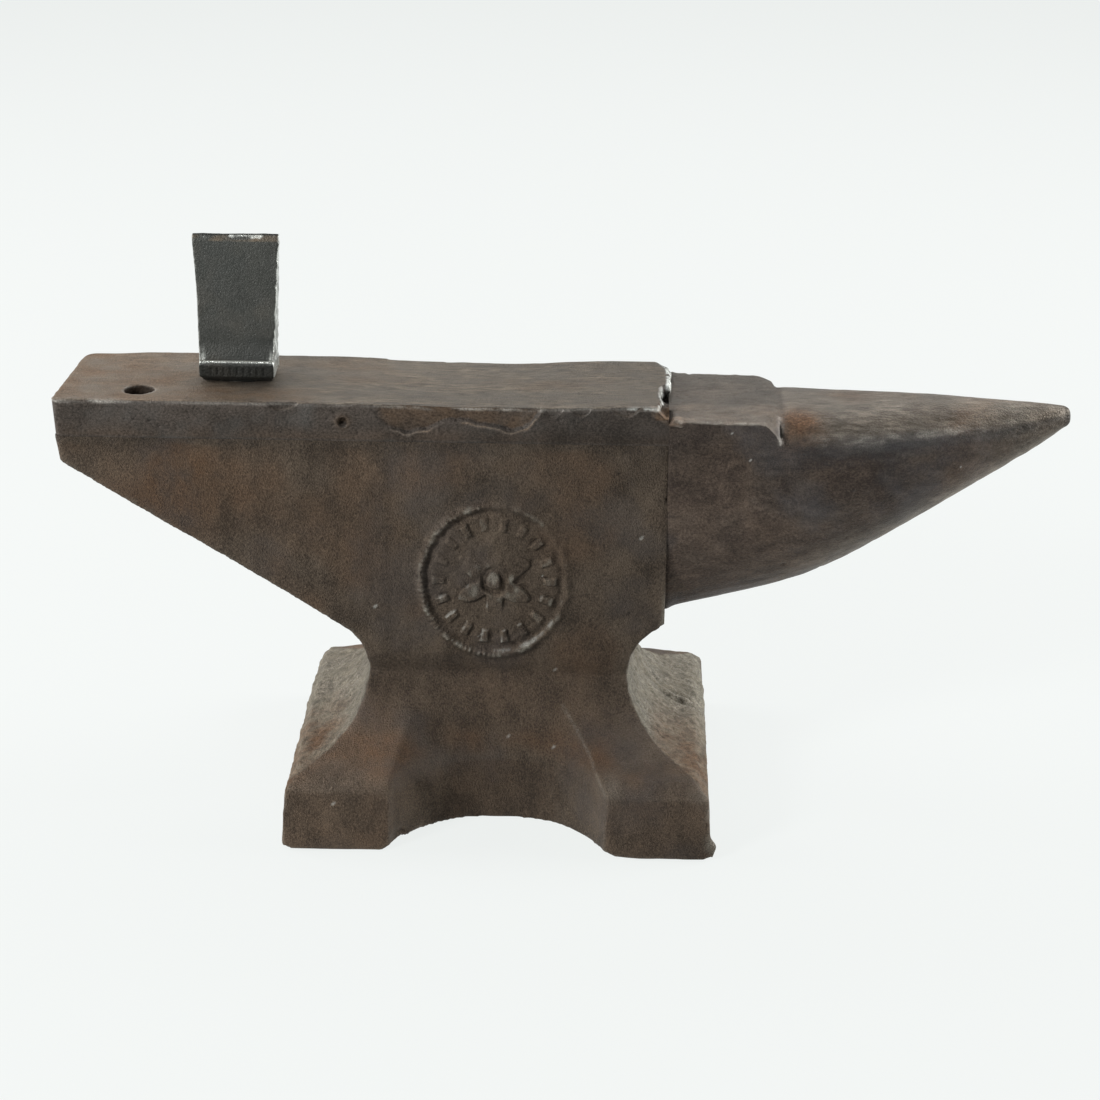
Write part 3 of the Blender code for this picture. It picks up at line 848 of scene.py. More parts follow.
def mask_front(surface, front, patches):
    """Rusty break, blow hole, and a front that is darker towards the horn."""
    points, masks = surface.points, surface.masks
    x, _, z = points.T
    depth = broken_depth(points)
    broken = rise(0.25, 0.9, depth) * front
    spalled = broken * (x > SPALL[0][0]) * (x < SPALL[-1][0])
    hole = front * hump(from_blow_hole(points), 3)
    by_hole = front * hump(from_blow_hole(points), 4)
    near_body = rise(PLATE_BOTTOM + 4, PLATE_BOTTOM + 1.5, z)
    masks["rust"] += 0.85 * spalled + 1.2 * hole
    masks["rust"] += 0.4 * front * rise(PLATE_BOTTOM + 9, PLATE_BOTTOM, z + 4 * patches) * (1 - spalled)
    surface.shade(-0.34 * front * rise(-60, 30, x) * (1 - broken))
    surface.shade(-0.12 * hump(z - PLATE_BOTTOM, 5))
    masks["wear_and_highlight"] *= (1 - near_body) * (0.3 + 0.7 * rise(-0.3, 0.4, noise(points, 9, seed=97)))
    masks["wear_and_highlight"] *= (1 - 0.8 * by_hole) * (1 - 0.6 * rise(0.3, 0.9, depth))
    masks["cavity"] *= (1 - 0.6 * by_hole) * (1 - near_body)


def mask_torn_end(surface, torn, front_edge):
    """Bright torn metal, the dark cavity in it, and the lump beaten over the seam at the front."""
    points, masks = surface.points, surface.masks
    x, y, z = points.T
    ragged = rise(-0.25, 0.2, fractal(points, (2.6, 2.0, 2.0), 2, seed=93))
    edge = hump(x - tear_line(y) - 0.4, 0.6) + rise(SEAM_X - 1.6, SEAM_X - 0.4, x) * rise(-9, 0, y)
    masks["bare_and_glint"] = 0.9 * edge * ragged * (z > TABLE_Z + 1) * rise(-34, -31, y)
    masks["bare_and_glint"] += 0.6 * front_edge * ragged * rise(22, 34, x)
    bottom = np.interp(x, (SEAM_X - 9, SEAM_X), (FACE_Z - 3.5, TABLE_Z - 3.0))
    lump = rise(SEAM_X - 9, SEAM_X - 8, x) * rise(-0.5, 0.5, z - bottom) * (y < FRONT_Y + 4)
    masks["rust"] += torn * rise(-24, -30, y) + 0.3 * lump
    surface.shade(0.7 * lump)
    surface.shade(-0.8 * torn * rise(1.0, 0.7, from_cavity(points)))
    masks["wear_and_highlight"] *= rise(SEAM_X - 1.5, SEAM_X - 4, x) + (z > TABLE_Z)


def mask_front_lines(surface, front, front_edge):
    """Bright line along the rubbed front edge, and the rusty lip under the break."""
    points, masks = surface.points, surface.masks
    x, _, _ = points.T
    rubbed = rise(-0.45, 0.20, fractal(points, (9, 3, 3), 3, seed=94))
    over_break = rise(-88, -80, x) * rise(-8, -14, x)
    line = front_edge * rubbed * (0.3 + 0.6 * rise(-190, -225, x) + 0.5 * over_break)
    away = break_line(points, 0)
    lip = hump(away + 0.4, 0.8) * front * rise(-0.5, 0.2, noise(points, 7, seed=95))
    lip *= rise(-87, -77, x)
    masks["wear_and_highlight"] *= 1 - 0.75 * hump(away, 3.0) * front
    masks["wear_and_highlight"] = np.maximum(masks["wear_and_highlight"], np.maximum(0.16 * lip, line))
    masks["rust"] = np.maximum(masks["rust"], 0.9 * lip)
    surface.shade(0.6 * lip)


def mask_pritchel_hole(surface, upper):
    """Rubbed rim and dark inside of the round hole."""
    masks = surface.masks
    x, y, _ = surface.points.T
    distance = np.hypot(x - PRITCHEL[0], y - PRITCHEL[1])
    rim = hump(distance - PRITCHEL_RADIUS - 0.5, 0.9) * upper
    masks["wear_and_highlight"] += 0.5 * rim * rise(2, -3, y - PRITCHEL[1])
    inside = (distance < PRITCHEL_RADIUS + 0.6) & (surface.normals[:, 2] < 0.5)
    masks["rust"][inside] = 1.0
    masks["tone"][inside] = 0.4


def mask_plate(surface):
    """Masks of the face plate."""
    surface.mask_edges(wear_and_highlight=0.55, cavity=0.5)
    points = surface.points
    x, y, z = points.T
    out_z = surface.normals[:, 2]
    upper = rise(0.55, 0.9, out_z) * (z > FACE_Z - 6)
    front = (y < FRONT_Y + 5) * rise(0.6, 0.2, out_z)
    front_edge = hump(z - face_level(x) + 1.0, 0.7) * (y < FRONT_Y + 3)
    torn = rise(-1.6, 0.0, x - tear_line(y)) * (z > TABLE_Z)
    patches = fractal(points, (46, 22, 22), 3, seed=91)
    surface.masks["polish_and_painted_light"] = upper * (1 - torn)
    mask_face(surface, upper, patches)
    mask_front(surface, front, patches)
    mask_torn_end(surface, torn, front_edge)
    mask_front_lines(surface, front, front_edge)
    mask_pritchel_hole(surface, upper)


# ---- horn and table

def square_horn(surface):
    """Sharp contact with the body, and an upright strip round the table."""
    x, y, z = surface.points.T
    surface.square_up(0, HORN_LOW[0])
    x[x < HORN_LOW[0] + 0.01] = SEAM_X + CLOSED_GAP
    reach = np.abs(y)
    past_table = 1 - rise(TABLE_END + 1, TABLE_END - 3, x)
    strip = np.maximum(reach, STRIP_HALF)
    below = np.minimum(reach, np.maximum(HORN_SIDE, reach - 4 * past_table))
    wanted = np.sign(y) * np.where(z > STRIP_BOTTOM, strip, below)
    y[:] = np.where((reach > HORN_SIDE - 2) & (x < TABLE_END), wanted, y)


def soften_horn(surface):
    """Soft shoulders on the horn, and sides that run flush into the body and out under the table."""
    x, y, z = surface.points.T
    on_horn = rise(TABLE_END - 2, TABLE_END + 4, x)
    surface.relax(rise(SEAM_X, SEAM_X + 3, x) * (0.3 + 0.7 * on_horn), 6)
    flank = rise(HORN_SIDE - 3, HORN_SIDE - 1, np.abs(y)) * rise(STRIP_BOTTOM + 1, STRIP_BOTTOM - 1, z)
    flush = (0.4 + 0.7 * rise(140, 170, z)) * rise(SEAM_X + 24, SEAM_X + 1, x)
    y += np.sign(y) * flush * flank
    below = rise(STRIP_BOTTOM, STRIP_BOTTOM - 4, z) * rise(62, 74, x) * rise(114, 104, x)
    surface.relax(below * (z > 150), 60)


def beat_table(surface, table):
    """Front of the table worn low, and its corner at the horn beaten down."""
    x, y, z = surface.points.T
    near_front = rise(HORN_LOW[1] + 17, HORN_LOW[1] + 12, y)
    z -= 0.7 * table * near_front * rise(TABLE_Z - 7, TABLE_Z - 1, z)
    droop = np.clip((x - TABLE_END + DROOP_RUN) / DROOP_RUN, 0, 1)
    droop *= rise(TABLE_END + 1.6, TABLE_END + 0.4, x) * rise(HORN_LOW[1] + 14, HORN_LOW[1] + 1, y)
    z -= DROOP * droop * rise(STRIP_BOTTOM - 1, TABLE_Z - 1, z)


def horn_grain(points, out_z, table):
    """How far the rough table and the forged horn stand proud or low."""
    top = rise(0.6, 0.9, out_z) * table
    shoulder = rise(0.1, 0.7, out_z) * (1 - table)
    underside = rise(0.0, -0.6, out_z) * (1 - table)
    amount = 0.25 * fractal(points, 40, 3, seed=101) + 0.06 * noise(points, 3, seed=105)
    amount += top * (0.6 * fractal(points, (14, 8, 8), 3, seed=107) + 0.24 * noise(points, 2.2, seed=111))
    amount += shoulder * 0.14 * fractal(points, (16, 7, 7), 2, seed=113)
    return amount + underside * 0.20 * noise(points, (5, 5, 9), seed=117)


def settle_horn(surface, table):
    """Worn table, a slightly raised horn with a blunt end, and the flare of its root."""
    x, y, z = surface.points.T
    z -= 0.7 * table * rise(SEAM_X, TABLE_END, x) * rise(TABLE_Z - 5, TABLE_Z, z)
    corner = rise(TABLE_END - 9, TABLE_END, x) * rise(HORN_HIGH[1] - 12, HORN_HIGH[1] - 2, y)
    z -= 2.6 * corner * table * rise(TABLE_Z - 8, TABLE_Z, z)
    z += 0.9 * rise(120, 180, x) * rise(-0.2, 0.5, surface.normals[:, 2])
    x -= 2.0 * rise(TIP_X - 16, TIP_X, x)
    z += 0.8 * hump(x - SEAM_X, 4) * rise(TABLE_Z - 3, TABLE_Z, z)
    z -= 1.6 * hump(x - SEAM_X, 3.5) * rise(118, 104, z)


def shape_horn(surface):
    """Horn: a rough table with a torn front corner, soft shoulders, hammer marks and a blunt tip."""
    square_horn(surface)
    points = surface.points
    x, _, z = points.T
    table = rise(TABLE_END + 6, TABLE_END - 2, x)
    soften_horn(surface)
    beat_table(surface, table)
    out_z = surface.normals[:, 2]
    surface.push(horn_grain(points, out_z, table) * rise(SEAM_X + 0.3, SEAM_X + 3, x))
    settle_horn(surface, table)
    tear_corner(surface)
    mark_tip(surface)
    surface.find_normals()
    rng = np.random.default_rng(9)
    surface.pit(rng, 70, (x > SEAM_X + 5) & (z < TABLE_Z - 8), (0.5, 1.2), (0.15, 0.5))
    surface.pit(rng, 26, rise(0.6, 0.9, out_z) * table > 0.8, (0.8, 2.0), (0.2, 0.6))
    add_hammer_marks(surface, rng)


def torn_corner_bottom(points):
    """Level down to which the torn corner hangs, lowest near its right end."""
    x = points[:, 0]
    return TABLE_Z - 3.0 - 1.2 * hump(x - SEAM_X - 9, 3) + 0.7 * noise(points, 3, seed=121)


def tear_corner(surface):
    """Front corner of the table next to the face plate, smeared over and hanging down a little."""
    points = surface.points
    x, y, z = points.T
    bottom = torn_corner_bottom(points)
    smear = rise(SEAM_X + 8, SEAM_X + 5, x) * rise(bottom - 0.6, bottom + 0.4, z) * (y < FRONT_Y + 4)
    y -= smear * (1.4 + 0.7 * fractal(points, 4, 2, seed=123))
    raised = hump(x - SEAM_X - 2, 6) * rise(FRONT_Y + 13, FRONT_Y + 5, y) * rise(TABLE_Z - 3, TABLE_Z, z)
    z += raised * (0.8 + 0.9 * fractal(points, 4, 2, seed=124))


def mark_tip(surface):
    """Small dent in the upper side of the tip."""
    distance = np.linalg.norm(surface.points - TIP_DENT, axis=1)
    surface.push(-0.9 * hump(distance, 2.0))


def add_hammer_marks(surface, rng):
    """Short slanting dents near the tip and along the lower edge of the horn."""
    points = surface.points
    for start, end, height in HAMMER_ZONES:
        for _ in range(HAMMER_MARKS):
            near = np.abs(points[:, 0] - rng.uniform(start, end)) < 7
            facing = near & (points[:, 1] < 0) & (np.abs(surface.normals[:, 2] - height) < 0.12)
            if not facing.any():
                continue
            offset = points - points[rng.choice(np.flatnonzero(facing))]
            slant = rng.uniform(0.1, 0.5)
            across = offset[:, 0] - slant * offset[:, 2]
            along = np.hypot(offset[:, 2], offset[:, 1])
            surface.push(-rng.uniform(0.15, 0.35) * hump(across, 0.9) * hump(along, rng.uniform(1.5, 3.0)))


def mask_horn_metal(surface, table):
    """Rubbed top, a painted highlight streak along the shoulder with a grey, darker band of painted
    reflection and shade below it, painted rim light on the lower side, and a dark tip and seam.
    """
    points, masks = surface.points, surface.masks
    x, _, z = points.T
    out_z = surface.normals[:, 2]
    horn = 1 - table
    rubbed = rise(0.1, 0.75, out_z) * horn
    worn_table = 0.85 * rise(0.35, 0.9, out_z) * table
    masks["polish_and_painted_light"] = np.maximum(worn_table, 0.85 * rubbed + 0.5 * rise(TIP_X - 70, TIP_X - 5, x))
    # Painted rim light: the underside takes the lighter colour of rubbed metal.
    masks["polish_and_painted_light"] += 0.8 * rise(-0.2, -0.8, out_z) * rise(70, 150, x)
    masks["rust"] = (0.15 + 0.3 * rubbed) * rise(-0.2, 0.5, fractal(points, 30, 3, seed=131))
    masks["wear_and_highlight"] *= 0.4 + 0.6 * rise(-0.3, 0.4, noise(points, 8, seed=137))
    masks["wear_and_highlight"] *= rise(SEAM_X + 1.5, SEAM_X + 4, x)
    # Painted highlight: a bright grey streak along the shoulder, placed by which way the surface faces.
    streak = hump(out_z - 0.46, 0.15) * rise(105, 135, x) * rise(TIP_X - 14, TIP_X - 50, x)
    masks["wear_and_highlight"] += 0.7 * streak * rise(-0.1, 0.4, fractal(points, (7, 2, 2), 3, seed=139))
    # Painted reflection and shade: a grey, darker band below the highlight, placed by which way the surface
    # faces.
    below = hump(out_z - 0.26, 0.13) * rise(TABLE_END - 4, TABLE_END + 14, x)
    masks["grey_and_sheen"] = 0.9 * streak + 0.7 * below
    masks["tone"] = 1 + 0.16 * fractal(points, 34, 3, seed=133)
    surface.shade(-0.35 * hump(x - SEAM_X, 1.6) * rise(165, 130, z))
    surface.shade(-0.5 * rise(TIP_X - 6.5, TIP_X - 4, x))
    # Painted rim light: the lower horn lighter.
    surface.shade(0.25 * rise(190, 150, z) * horn)
    surface.shade(0.22 * rise(TIP_X - 90, TIP_X - 30, x))
    surface.shade(0.42 * fractal(points, (6, 2.5, 2.5), 3, seed=144) * horn)
    # Painted shade in the band below the highlight.
    surface.shade(-0.22 * below)


def mask_table(surface, table):
    """Painted highlight on the ledge along the table's front, where its rounded edge catches the light, with
    the rest of the top darker; rust behind its end, and rubbed edges with a painted highlight line on the
    end edge.
    """
    points, masks = surface.points, surface.masks
    x, y, z = points.T
    out_z = surface.normals[:, 2]
    from_front = y - HORN_LOW[1]
    up = rise(0.35, 0.9, out_z) * table
    ledge = rise(26, 19, from_front + 3 * noise(points, 9, seed=134))
    # Painted highlight: the front band of the table's top lighter, the rest darker; a little real rust on
    # the band.
    surface.shade(up * (0.34 * ledge - 0.30))
    surface.shade(0.20 * fractal(points, (12, 5, 5), 3, seed=146) * table)
    surface.shade(0.16 * noise(points, (3.5, 2, 2), seed=148) * table)
    spot = hump(x - TABLE_END - 9, 10) * hump(from_front - 9, 12) * hump(z - TABLE_Z + 5, 9) * (1 - table)
    masks["cavity"] *= 1 - np.minimum(spot * 2, 0.9)
    # Rusty end edge with a painted highlight line on it.
    end_edge = hump(x - TABLE_END - 0.3, 1.0) * (from_front < 14) * rise(191, 193, z)
    masks["rust"] += 1.5 * spot + 0.25 * ledge * up + 0.5 * end_edge
    masks["bare_and_glint"] = 0.25 * end_edge
    masks["wear_and_highlight"] += 0.8 * end_edge * rise(-0.6, 0.1, noise(points, 5, seed=138))
    front_edge = hump(from_front - 0.8, 0.8) * (z > STRIP_BOTTOM - 2) * (x < TABLE_END) * (x > SEAM_X + 12)
    front_edge *= (out_z > 0.2) * rise(-0.5, 0.2, noise(points, (9, 4, 4), seed=136))
    scrape = hump(from_front - 6 - noise(points, 7, seed=140), 1.4) * (out_z > 0.7)
    scrape *= rise(88, 60, x) * rise(0.0, 0.3, noise(points, (9, 3, 3), seed=142))
    masks["wear_and_highlight"] += 0.28 * front_edge + 0.35 * scrape


def mask_torn_corner(surface):
    """Rusty, lighter metal of the smeared corner."""
    points, masks = surface.points, surface.masks
    x, y, z = points.T
    lump = rise(SEAM_X + 8, SEAM_X + 5, x) * (z > torn_corner_bottom(points)) * (y < FRONT_Y + 6)
    masks["rust"] += 0.2 * lump
    masks["cavity"] *= 1 - 0.8 * lump
    surface.shade(0.7 * lump)


def mask_horn(surface):
    """Masks of the horn and the table."""
    surface.mask_edges(wear_and_highlight=0.55, cavity=0.6)
    x, _, z = surface.points.T
    table = rise(TABLE_END + 4, TABLE_END - 1, x) * rise(TABLE_Z - 16, TABLE_Z - 10, z)
    mask_horn_metal(surface, table)
    mask_table(surface, table)
    mask_torn_corner(surface)
    surface.dust(np.random.default_rng(23), 8, (z < TABLE_Z - 4) & (x > SEAM_X + 4))


# ---- hardy tool

def forge_tool(surface, above):
    """Uneven flats, a hacked right side, a nicked cutting edge, and a notch above the band."""
    points = surface.points
    x, y, z = points.T
    out_x, out_y, _ = surface.normals.T
    inner = rise(0.0, 2.0, TOOL_HIGH[1] - np.abs(y - TOOL_Y) - 2.5)
    right = rise(0.6, 0.9, out_x) * inner
    edges = rise(0.25, 0.5, np.abs(out_x)) * rise(0.97, 0.85, np.abs(out_x))
    nicks = rise(TOOL_HIGH[2] - 4, TOOL_HIGH[2], z)
    amount = 0.12 * fractal(points, 14, 3, seed=141) + 0.03 * noise(points, 1.6, seed=143)
    amount += right * (0.45 * noise(points, (9, 5, 2.6), seed=145) + 0.12 * noise(points, 1.4, seed=147))
    amount += edges * 0.05 * fractal(points, (3, 3, 4), 2, seed=149)
    amount += nicks * 0.20 * fractal(points, (5, 5, 3), 2, seed=151)
    amount -= 0.5 * hump(z - BAND_TOP - 0.5, 0.55) * rise(0.5, 0.8, np.abs(out_y))
    surface.push(amount * above)
    z += nicks * (0.25 * noise(points, (9, 9, 60), seed=153) - 0.1)
    x -= 1.5 * rise(TOOL_X - 6, TOOL_X - 16, x) * rise(BAND_TOP + 40, BAND_TOP, z) * above
    x += 0.9 * rise(TOOL_X + 6, TOOL_X + 14, x) * above
    y -= 1.2 * rise(TOOL_Y - 4, TOOL_Y - 8, y) * rise(BAND_TOP + 10, BAND_TOP, z) * above


def add_ticks(surface, facing):
    """Row of plain upright ticks in the front of the band."""
    x, y, z = surface.points.T
    pitch = TICK_ROW / TICKS
    phase = (x - TOOL_X) / pitch
    tick = hump((phase - np.round(phase)) * pitch, 0.45) * (np.abs(phase) < TICKS / 2)
    middle = (FACE_Z + BAND_TOP) / 2 + 0.6
    worn = 0.75 + 0.25 * noise(surface.points, 20, seed=155)
    surface.ticks = tick * worn * rise(2.4, 1.6, np.abs(z - middle)) * facing
    y += 0.35 * surface.ticks


def shape_tool(surface):
    """Cut-off hardy: forge-black flats, a hacked side edge, a nicked cutting edge and a ticked band."""
    z = surface.points[:, 2]
    surface.relax(rise(FACE_Z, FACE_Z + 1, z) * 0.8, 1)
    forge_tool(surface, rise(FACE_Z + 1, FACE_Z + 3, z))
    add_ticks(surface, surface.normals[:, 1] < -0.8)


def mask_blade(surface, front, band):
    """Bright hacked side, cutting edge and line above the band."""
    points, masks = surface.points, surface.masks
    x, _, z = points.T
    out_x = surface.normals[:, 0]
    top = TOOL_HIGH[2]
    bevel = rise(top - 3.8, top - 3.0, z) * rise(top - 0.3, top - 1, z)
    hacked = rise(-0.3, 0.25, fractal(points, (3, 3, 4), 2, seed=161))
    line = hump(z - BAND_TOP - 0.5, 0.45) * front * rise(-0.8, 0.0, noise(points, (5, 5, 5), seed=165))
    low_corner = rise(BAND_TOP + 14, BAND_TOP + 2, z) * rise(0.1, 0.4, np.abs(out_x))
    front_corner = hump(np.abs(x - TOOL_X) - BAND_HALF + 0.6, 0.9) * rise(BAND_TOP + 9, BAND_TOP + 2, z)
    masks["bare_and_glint"] = rise(0.5, 0.85, out_x) * (z > FACE_Z) * (0.35 + 0.65 * hacked)
    masks["bare_and_glint"] += 0.7 * bevel * rise(0.1, 0.4, fractal(points, (5, 5, 2), 3, seed=163)) + 1.5 * line
    masks["bare_and_glint"] += (0.45 * low_corner + 0.7 * front_corner * front) * hacked * (1 - band)
    surface.shade(-0.12 * rise(BAND_TOP + 26, BAND_TOP + 2, z) * front)
    surface.shade(-0.4 * rise(top - 1.2, top - 0.6, z))
    masks["rust"] = 1.1 * bevel * rise(-0.3, 0.2, noise(points, 5, seed=169))
    masks["rust"] += 0.12 * rise(0.0, 0.5, fractal(points, 12, 2, seed=171))


def mask_tool(surface):
    """Masks of the hardy tool."""
    surface.mask_edges(wear_and_highlight=0.45, cavity=0.5)
    points, masks = surface.points, surface.masks
    z = points[:, 2]
    front = rise(0.5, 0.85, -surface.normals[:, 1])
    band = rise(BAND_TOP, BAND_TOP - 0.8, z)
    masks["tone"] = (1 + 0.10 * fractal(points, 18, 2, seed=167)) * (1 - 0.32 * band * front)
    surface.shade(-0.5 * surface.ticks)
    mask_blade(surface, front, band)
    masks["wear_and_highlight"] *= rise(-0.4, 0.4, noise(points, 6, seed=173)) * (1 - band)


# ---- materials

SPECKS = 0.55  # size of the finest specks
LARGE_PATCHES = 45.0
MIX_FIRST, MIX_SECOND, MIX_RESULT = 6, 7, 2  # the colour sockets of a Mix node


class Graph:
    """Short ways to add nodes to a material."""

    def __init__(self, name):
        self.material = bpy.data.materials.new(name)
        self.material.use_nodes = True
        self.tree = self.material.node_tree
        self.shader = self.tree.nodes["Principled BSDF"]
        place = self.tree.nodes.new("ShaderNodeTexCoord")
        self.place = place.outputs["Object"]

    def put(self, value, socket):
        """Set a socket to a value, or link another socket to it."""
        if isinstance(value, bpy.types.NodeSocket):
            self.tree.links.new(value, socket)
        elif socket.type == "RGBA" and len(value) == 3:
            socket.default_value = (*value, 1.0)
        else:
            socket.default_value = value

    def mask(self, name):
        """A mask stored on the mesh."""
        node = self.tree.nodes.new("ShaderNodeAttribute")
        node.attribute_name = name
        return node.outputs["Fac"]

    def noise(self, size, detail=3.0, stretch=(1, 1, 1), rough=0.55):
        """Noise from 0 to 1 with features of a size in millimetres, drawn out by stretch."""
        mapping = self.tree.nodes.new("ShaderNodeMapping")
        mapping.inputs["Scale"].default_value = [1 / (size * MM * part) for part in stretch]
        self.put(self.place, mapping.inputs["Vector"])
        node = self.tree.nodes.new("ShaderNodeTexNoise")
        node.inputs["Scale"].default_value = 1.0
        node.inputs["Detail"].default_value = detail
        node.inputs["Roughness"].default_value = rough
        self.put(mapping.outputs["Vector"], node.inputs["Vector"])
        return node.outputs["Fac"]

    def math(self, operation, first, second=0.0):
        node = self.tree.nodes.new("ShaderNodeMath")
        node.operation = operation
        self.put(first, node.inputs[0])
        self.put(second, node.inputs[1])
        return node.outputs[0]

    def times(self, first, second):
        return self.math("MULTIPLY", first, second)

    def steps(self, value, low, high, start=0.0, end=1.0):
        """Turn the range low to high into start to end."""
        node = self.tree.nodes.new("ShaderNodeMapRange")
        for name, part in (("Value", value), ("From Min", low), ("From Max", high),
                           ("To Min", start), ("To Max", end)):
            self.put(part, node.inputs[name])
        return node.outputs["Result"]

    def mix(self, factor, first, second, blend="MIX"):
        node = self.tree.nodes.new("ShaderNodeMix")
        node.data_type = "RGBA"
        node.blend_type = blend
        self.put(factor, node.inputs["Factor"])
        self.put(first, node.inputs[MIX_FIRST])
        self.put(second, node.inputs[MIX_SECOND])
        return node.outputs[MIX_RESULT]

    def multiply(self, colour, shade):
        return self.mix(1.0, colour, shade, blend="MULTIPLY")

    def bump(self, height, distance, normal=None):
        node = self.tree.nodes.new("ShaderNodeBump")
        node.inputs["Distance"].default_value = distance * MM
        self.put(height, node.inputs["Height"])
        if normal is not None:
            self.put(normal, node.inputs["Normal"])
        return node.outputs["Normal"]


def oxide_colour(graph, look, grain, mottle):
    """Mottled oxide with large grey patches."""
    large = graph.noise(LARGE_PATCHES, detail=3)
    blend = graph.math("ADD", graph.times(grain, 0.6), graph.times(mottle, 0.4))
    colour = graph.mix(graph.steps(blend, 0.40, 0.60), look["dark"], look["light"])
    colour = graph.mix(graph.steps(large, 0.5, 0.62, 0.0, 0.45), colour, look["grey_and_sheen"])
    return graph.mix(graph.mask("grey_and_sheen"), colour, look["grey_and_sheen"])


def rubbed_and_lit_colour(graph, look, streaks, mottle):
    """Streaky metal where it is rubbed smooth, also used as painted light on the body's ramps and the horn's
    underside.
    """
    shiny = graph.mix(graph.steps(streaks, 0.40, 0.60), look["polish_and_lit_dark"], look["polish_and_lit_pale"])
    return graph.mix(graph.steps(mottle, 0.62, 0.40, 0.0, 0.6), shiny, look["tint"])


def dirty_colour(graph, look, colour, speck):
    """The colour with its tone, fine grit, and dirt in the hollows."""
    colour = graph.multiply(colour, graph.mask("tone"))
    colour = graph.multiply(colour, graph.steps(speck, 0.35, 0.65, 1 - look["grit"], 1 + look["grit"]))
    return graph.multiply(colour, graph.steps(graph.mask("cavity"), 0.0, 1.0, 1.0, look["hollow"]))


def add_roughness(graph, look, grain, streaks, polish_and_painted_light, rust, bare_and_glint):
    """Roughness: less where rubbed or bare, more where rusty."""
    rough = graph.steps(grain, 0.3, 0.7, look["rough"] - 0.08, look["rough"] + 0.08)
    smooth = graph.steps(streaks, 0.35, 0.65, look["polish_rough"] - 0.06, look["polish_rough"] + 0.08)
    unpolished = graph.times(rough, graph.math("SUBTRACT", 1.0, polish_and_painted_light))
    rough = graph.math("ADD", unpolished, graph.times(smooth, polish_and_painted_light))
    rough = graph.math("ADD", rough, graph.times(rust, 0.15))
    rough = graph.math("SUBTRACT", rough, graph.times(bare_and_glint, 0.18))
    graph.put(rough, graph.shader.inputs["Roughness"])


def worn_metal(name, look):
    """Oxidised iron or steel with mottling, rust, rubbed ridges, dirty hollows and bare metal, and the
    painted light, highlights and glints that the masks hold.
    """
    graph = Graph(name)
    grain = graph.noise(look["grain"], detail=4, stretch=look["stretch"])
    mottle = graph.noise(look["mottle"], detail=4, stretch=look["stretch"])
    speck = graph.noise(SPECKS, detail=2)
    colour = oxide_colour(graph, look, grain, mottle)
    polish_and_painted_light = graph.mask("polish_and_painted_light")
    streaks = graph.noise(look["grain"] * 1.5, detail=6, stretch=look["streak"], rough=0.7)
    colour = graph.mix(polish_and_painted_light, colour, rubbed_and_lit_colour(graph, look, streaks, mottle))
    rust = graph.times(graph.mask("rust"), graph.steps(mottle, 0.35, 0.6, 0.35, 1.0))
    rust_colour = graph.mix(graph.steps(grain, 0.35, 0.65), look["rust_dark"], look["rust_light"])
    colour = dirty_colour(graph, look, graph.mix(rust, colour, rust_colour), speck)
    # The wear colour also paints the highlights in the wear mask, and the bare colour the glints in the bare
    # mask.
    worn = graph.times(graph.mask("wear_and_highlight"), graph.steps(speck, 0.35, 0.6, 0.3, look["worn"]))
    colour = graph.mix(worn, colour, look["wear_and_highlight"])
    bare_and_glint = graph.times(graph.mask("bare_and_glint"), graph.steps(speck, 0.3, 0.55, 0.45, 1.0))
    graph.put(graph.mix(bare_and_glint, colour, look["bare_and_glint"]), graph.shader.inputs["Base Color"])
    graph.put(look["specular"], graph.shader.inputs["Specular IOR Level"])
    add_roughness(graph, look, grain, streaks, polish_and_painted_light, rust, bare_and_glint)
    metal = graph.math("MAXIMUM", graph.times(polish_and_painted_light, look["polish_metal"]), bare_and_glint)
    graph.put(graph.math("MAXIMUM", metal, look["metal"]), graph.shader.inputs["Metallic"])
    normal = graph.bump(grain, look["grain_depth"])
    normal = graph.bump(speck, look["speck_depth"], normal)
    graph.put(normal, graph.shader.inputs["Normal"])
    return graph.material


# Colours are linear RGB; grain, mottle and the depths are in millimetres. The rubbed, grey, wear and bare
# colours also paint the light, highlights, reflections and glints that their masks hold.
CAST_IRON = {
    "dark": (0.038, 0.028, 0.020), "light": (0.105, 0.080, 0.058),
    # on the cast iron the rubbed colours only paint the light on the ramps
    "polish_and_lit_dark": (0.078, 0.071, 0.056), "polish_and_lit_pale": (0.20, 0.186, 0.152),
    "tint": (0.128, 0.113, 0.084), "grey_and_sheen": (0.062, 0.053, 0.048), "streak": (1, 1, 1.4), "grit": 0.22,
    "rust_dark": (0.064, 0.037, 0.022), "rust_light": (0.124, 0.073, 0.041),
    "wear_and_highlight": (0.26, 0.245, 0.205), "bare_and_glint": (0.50, 0.50, 0.46),
    "grain": 0.7, "mottle": 13.0, "stretch": (1.0, 1.0, 1.5),
    "rough": 0.60, "polish_rough": 0.60, "metal": 0.45, "polish_metal": 0.2, "specular": 0.25,
    "hollow": 0.32, "worn": 0.85, "grain_depth": 1.0, "speck_depth": 0.35,
}
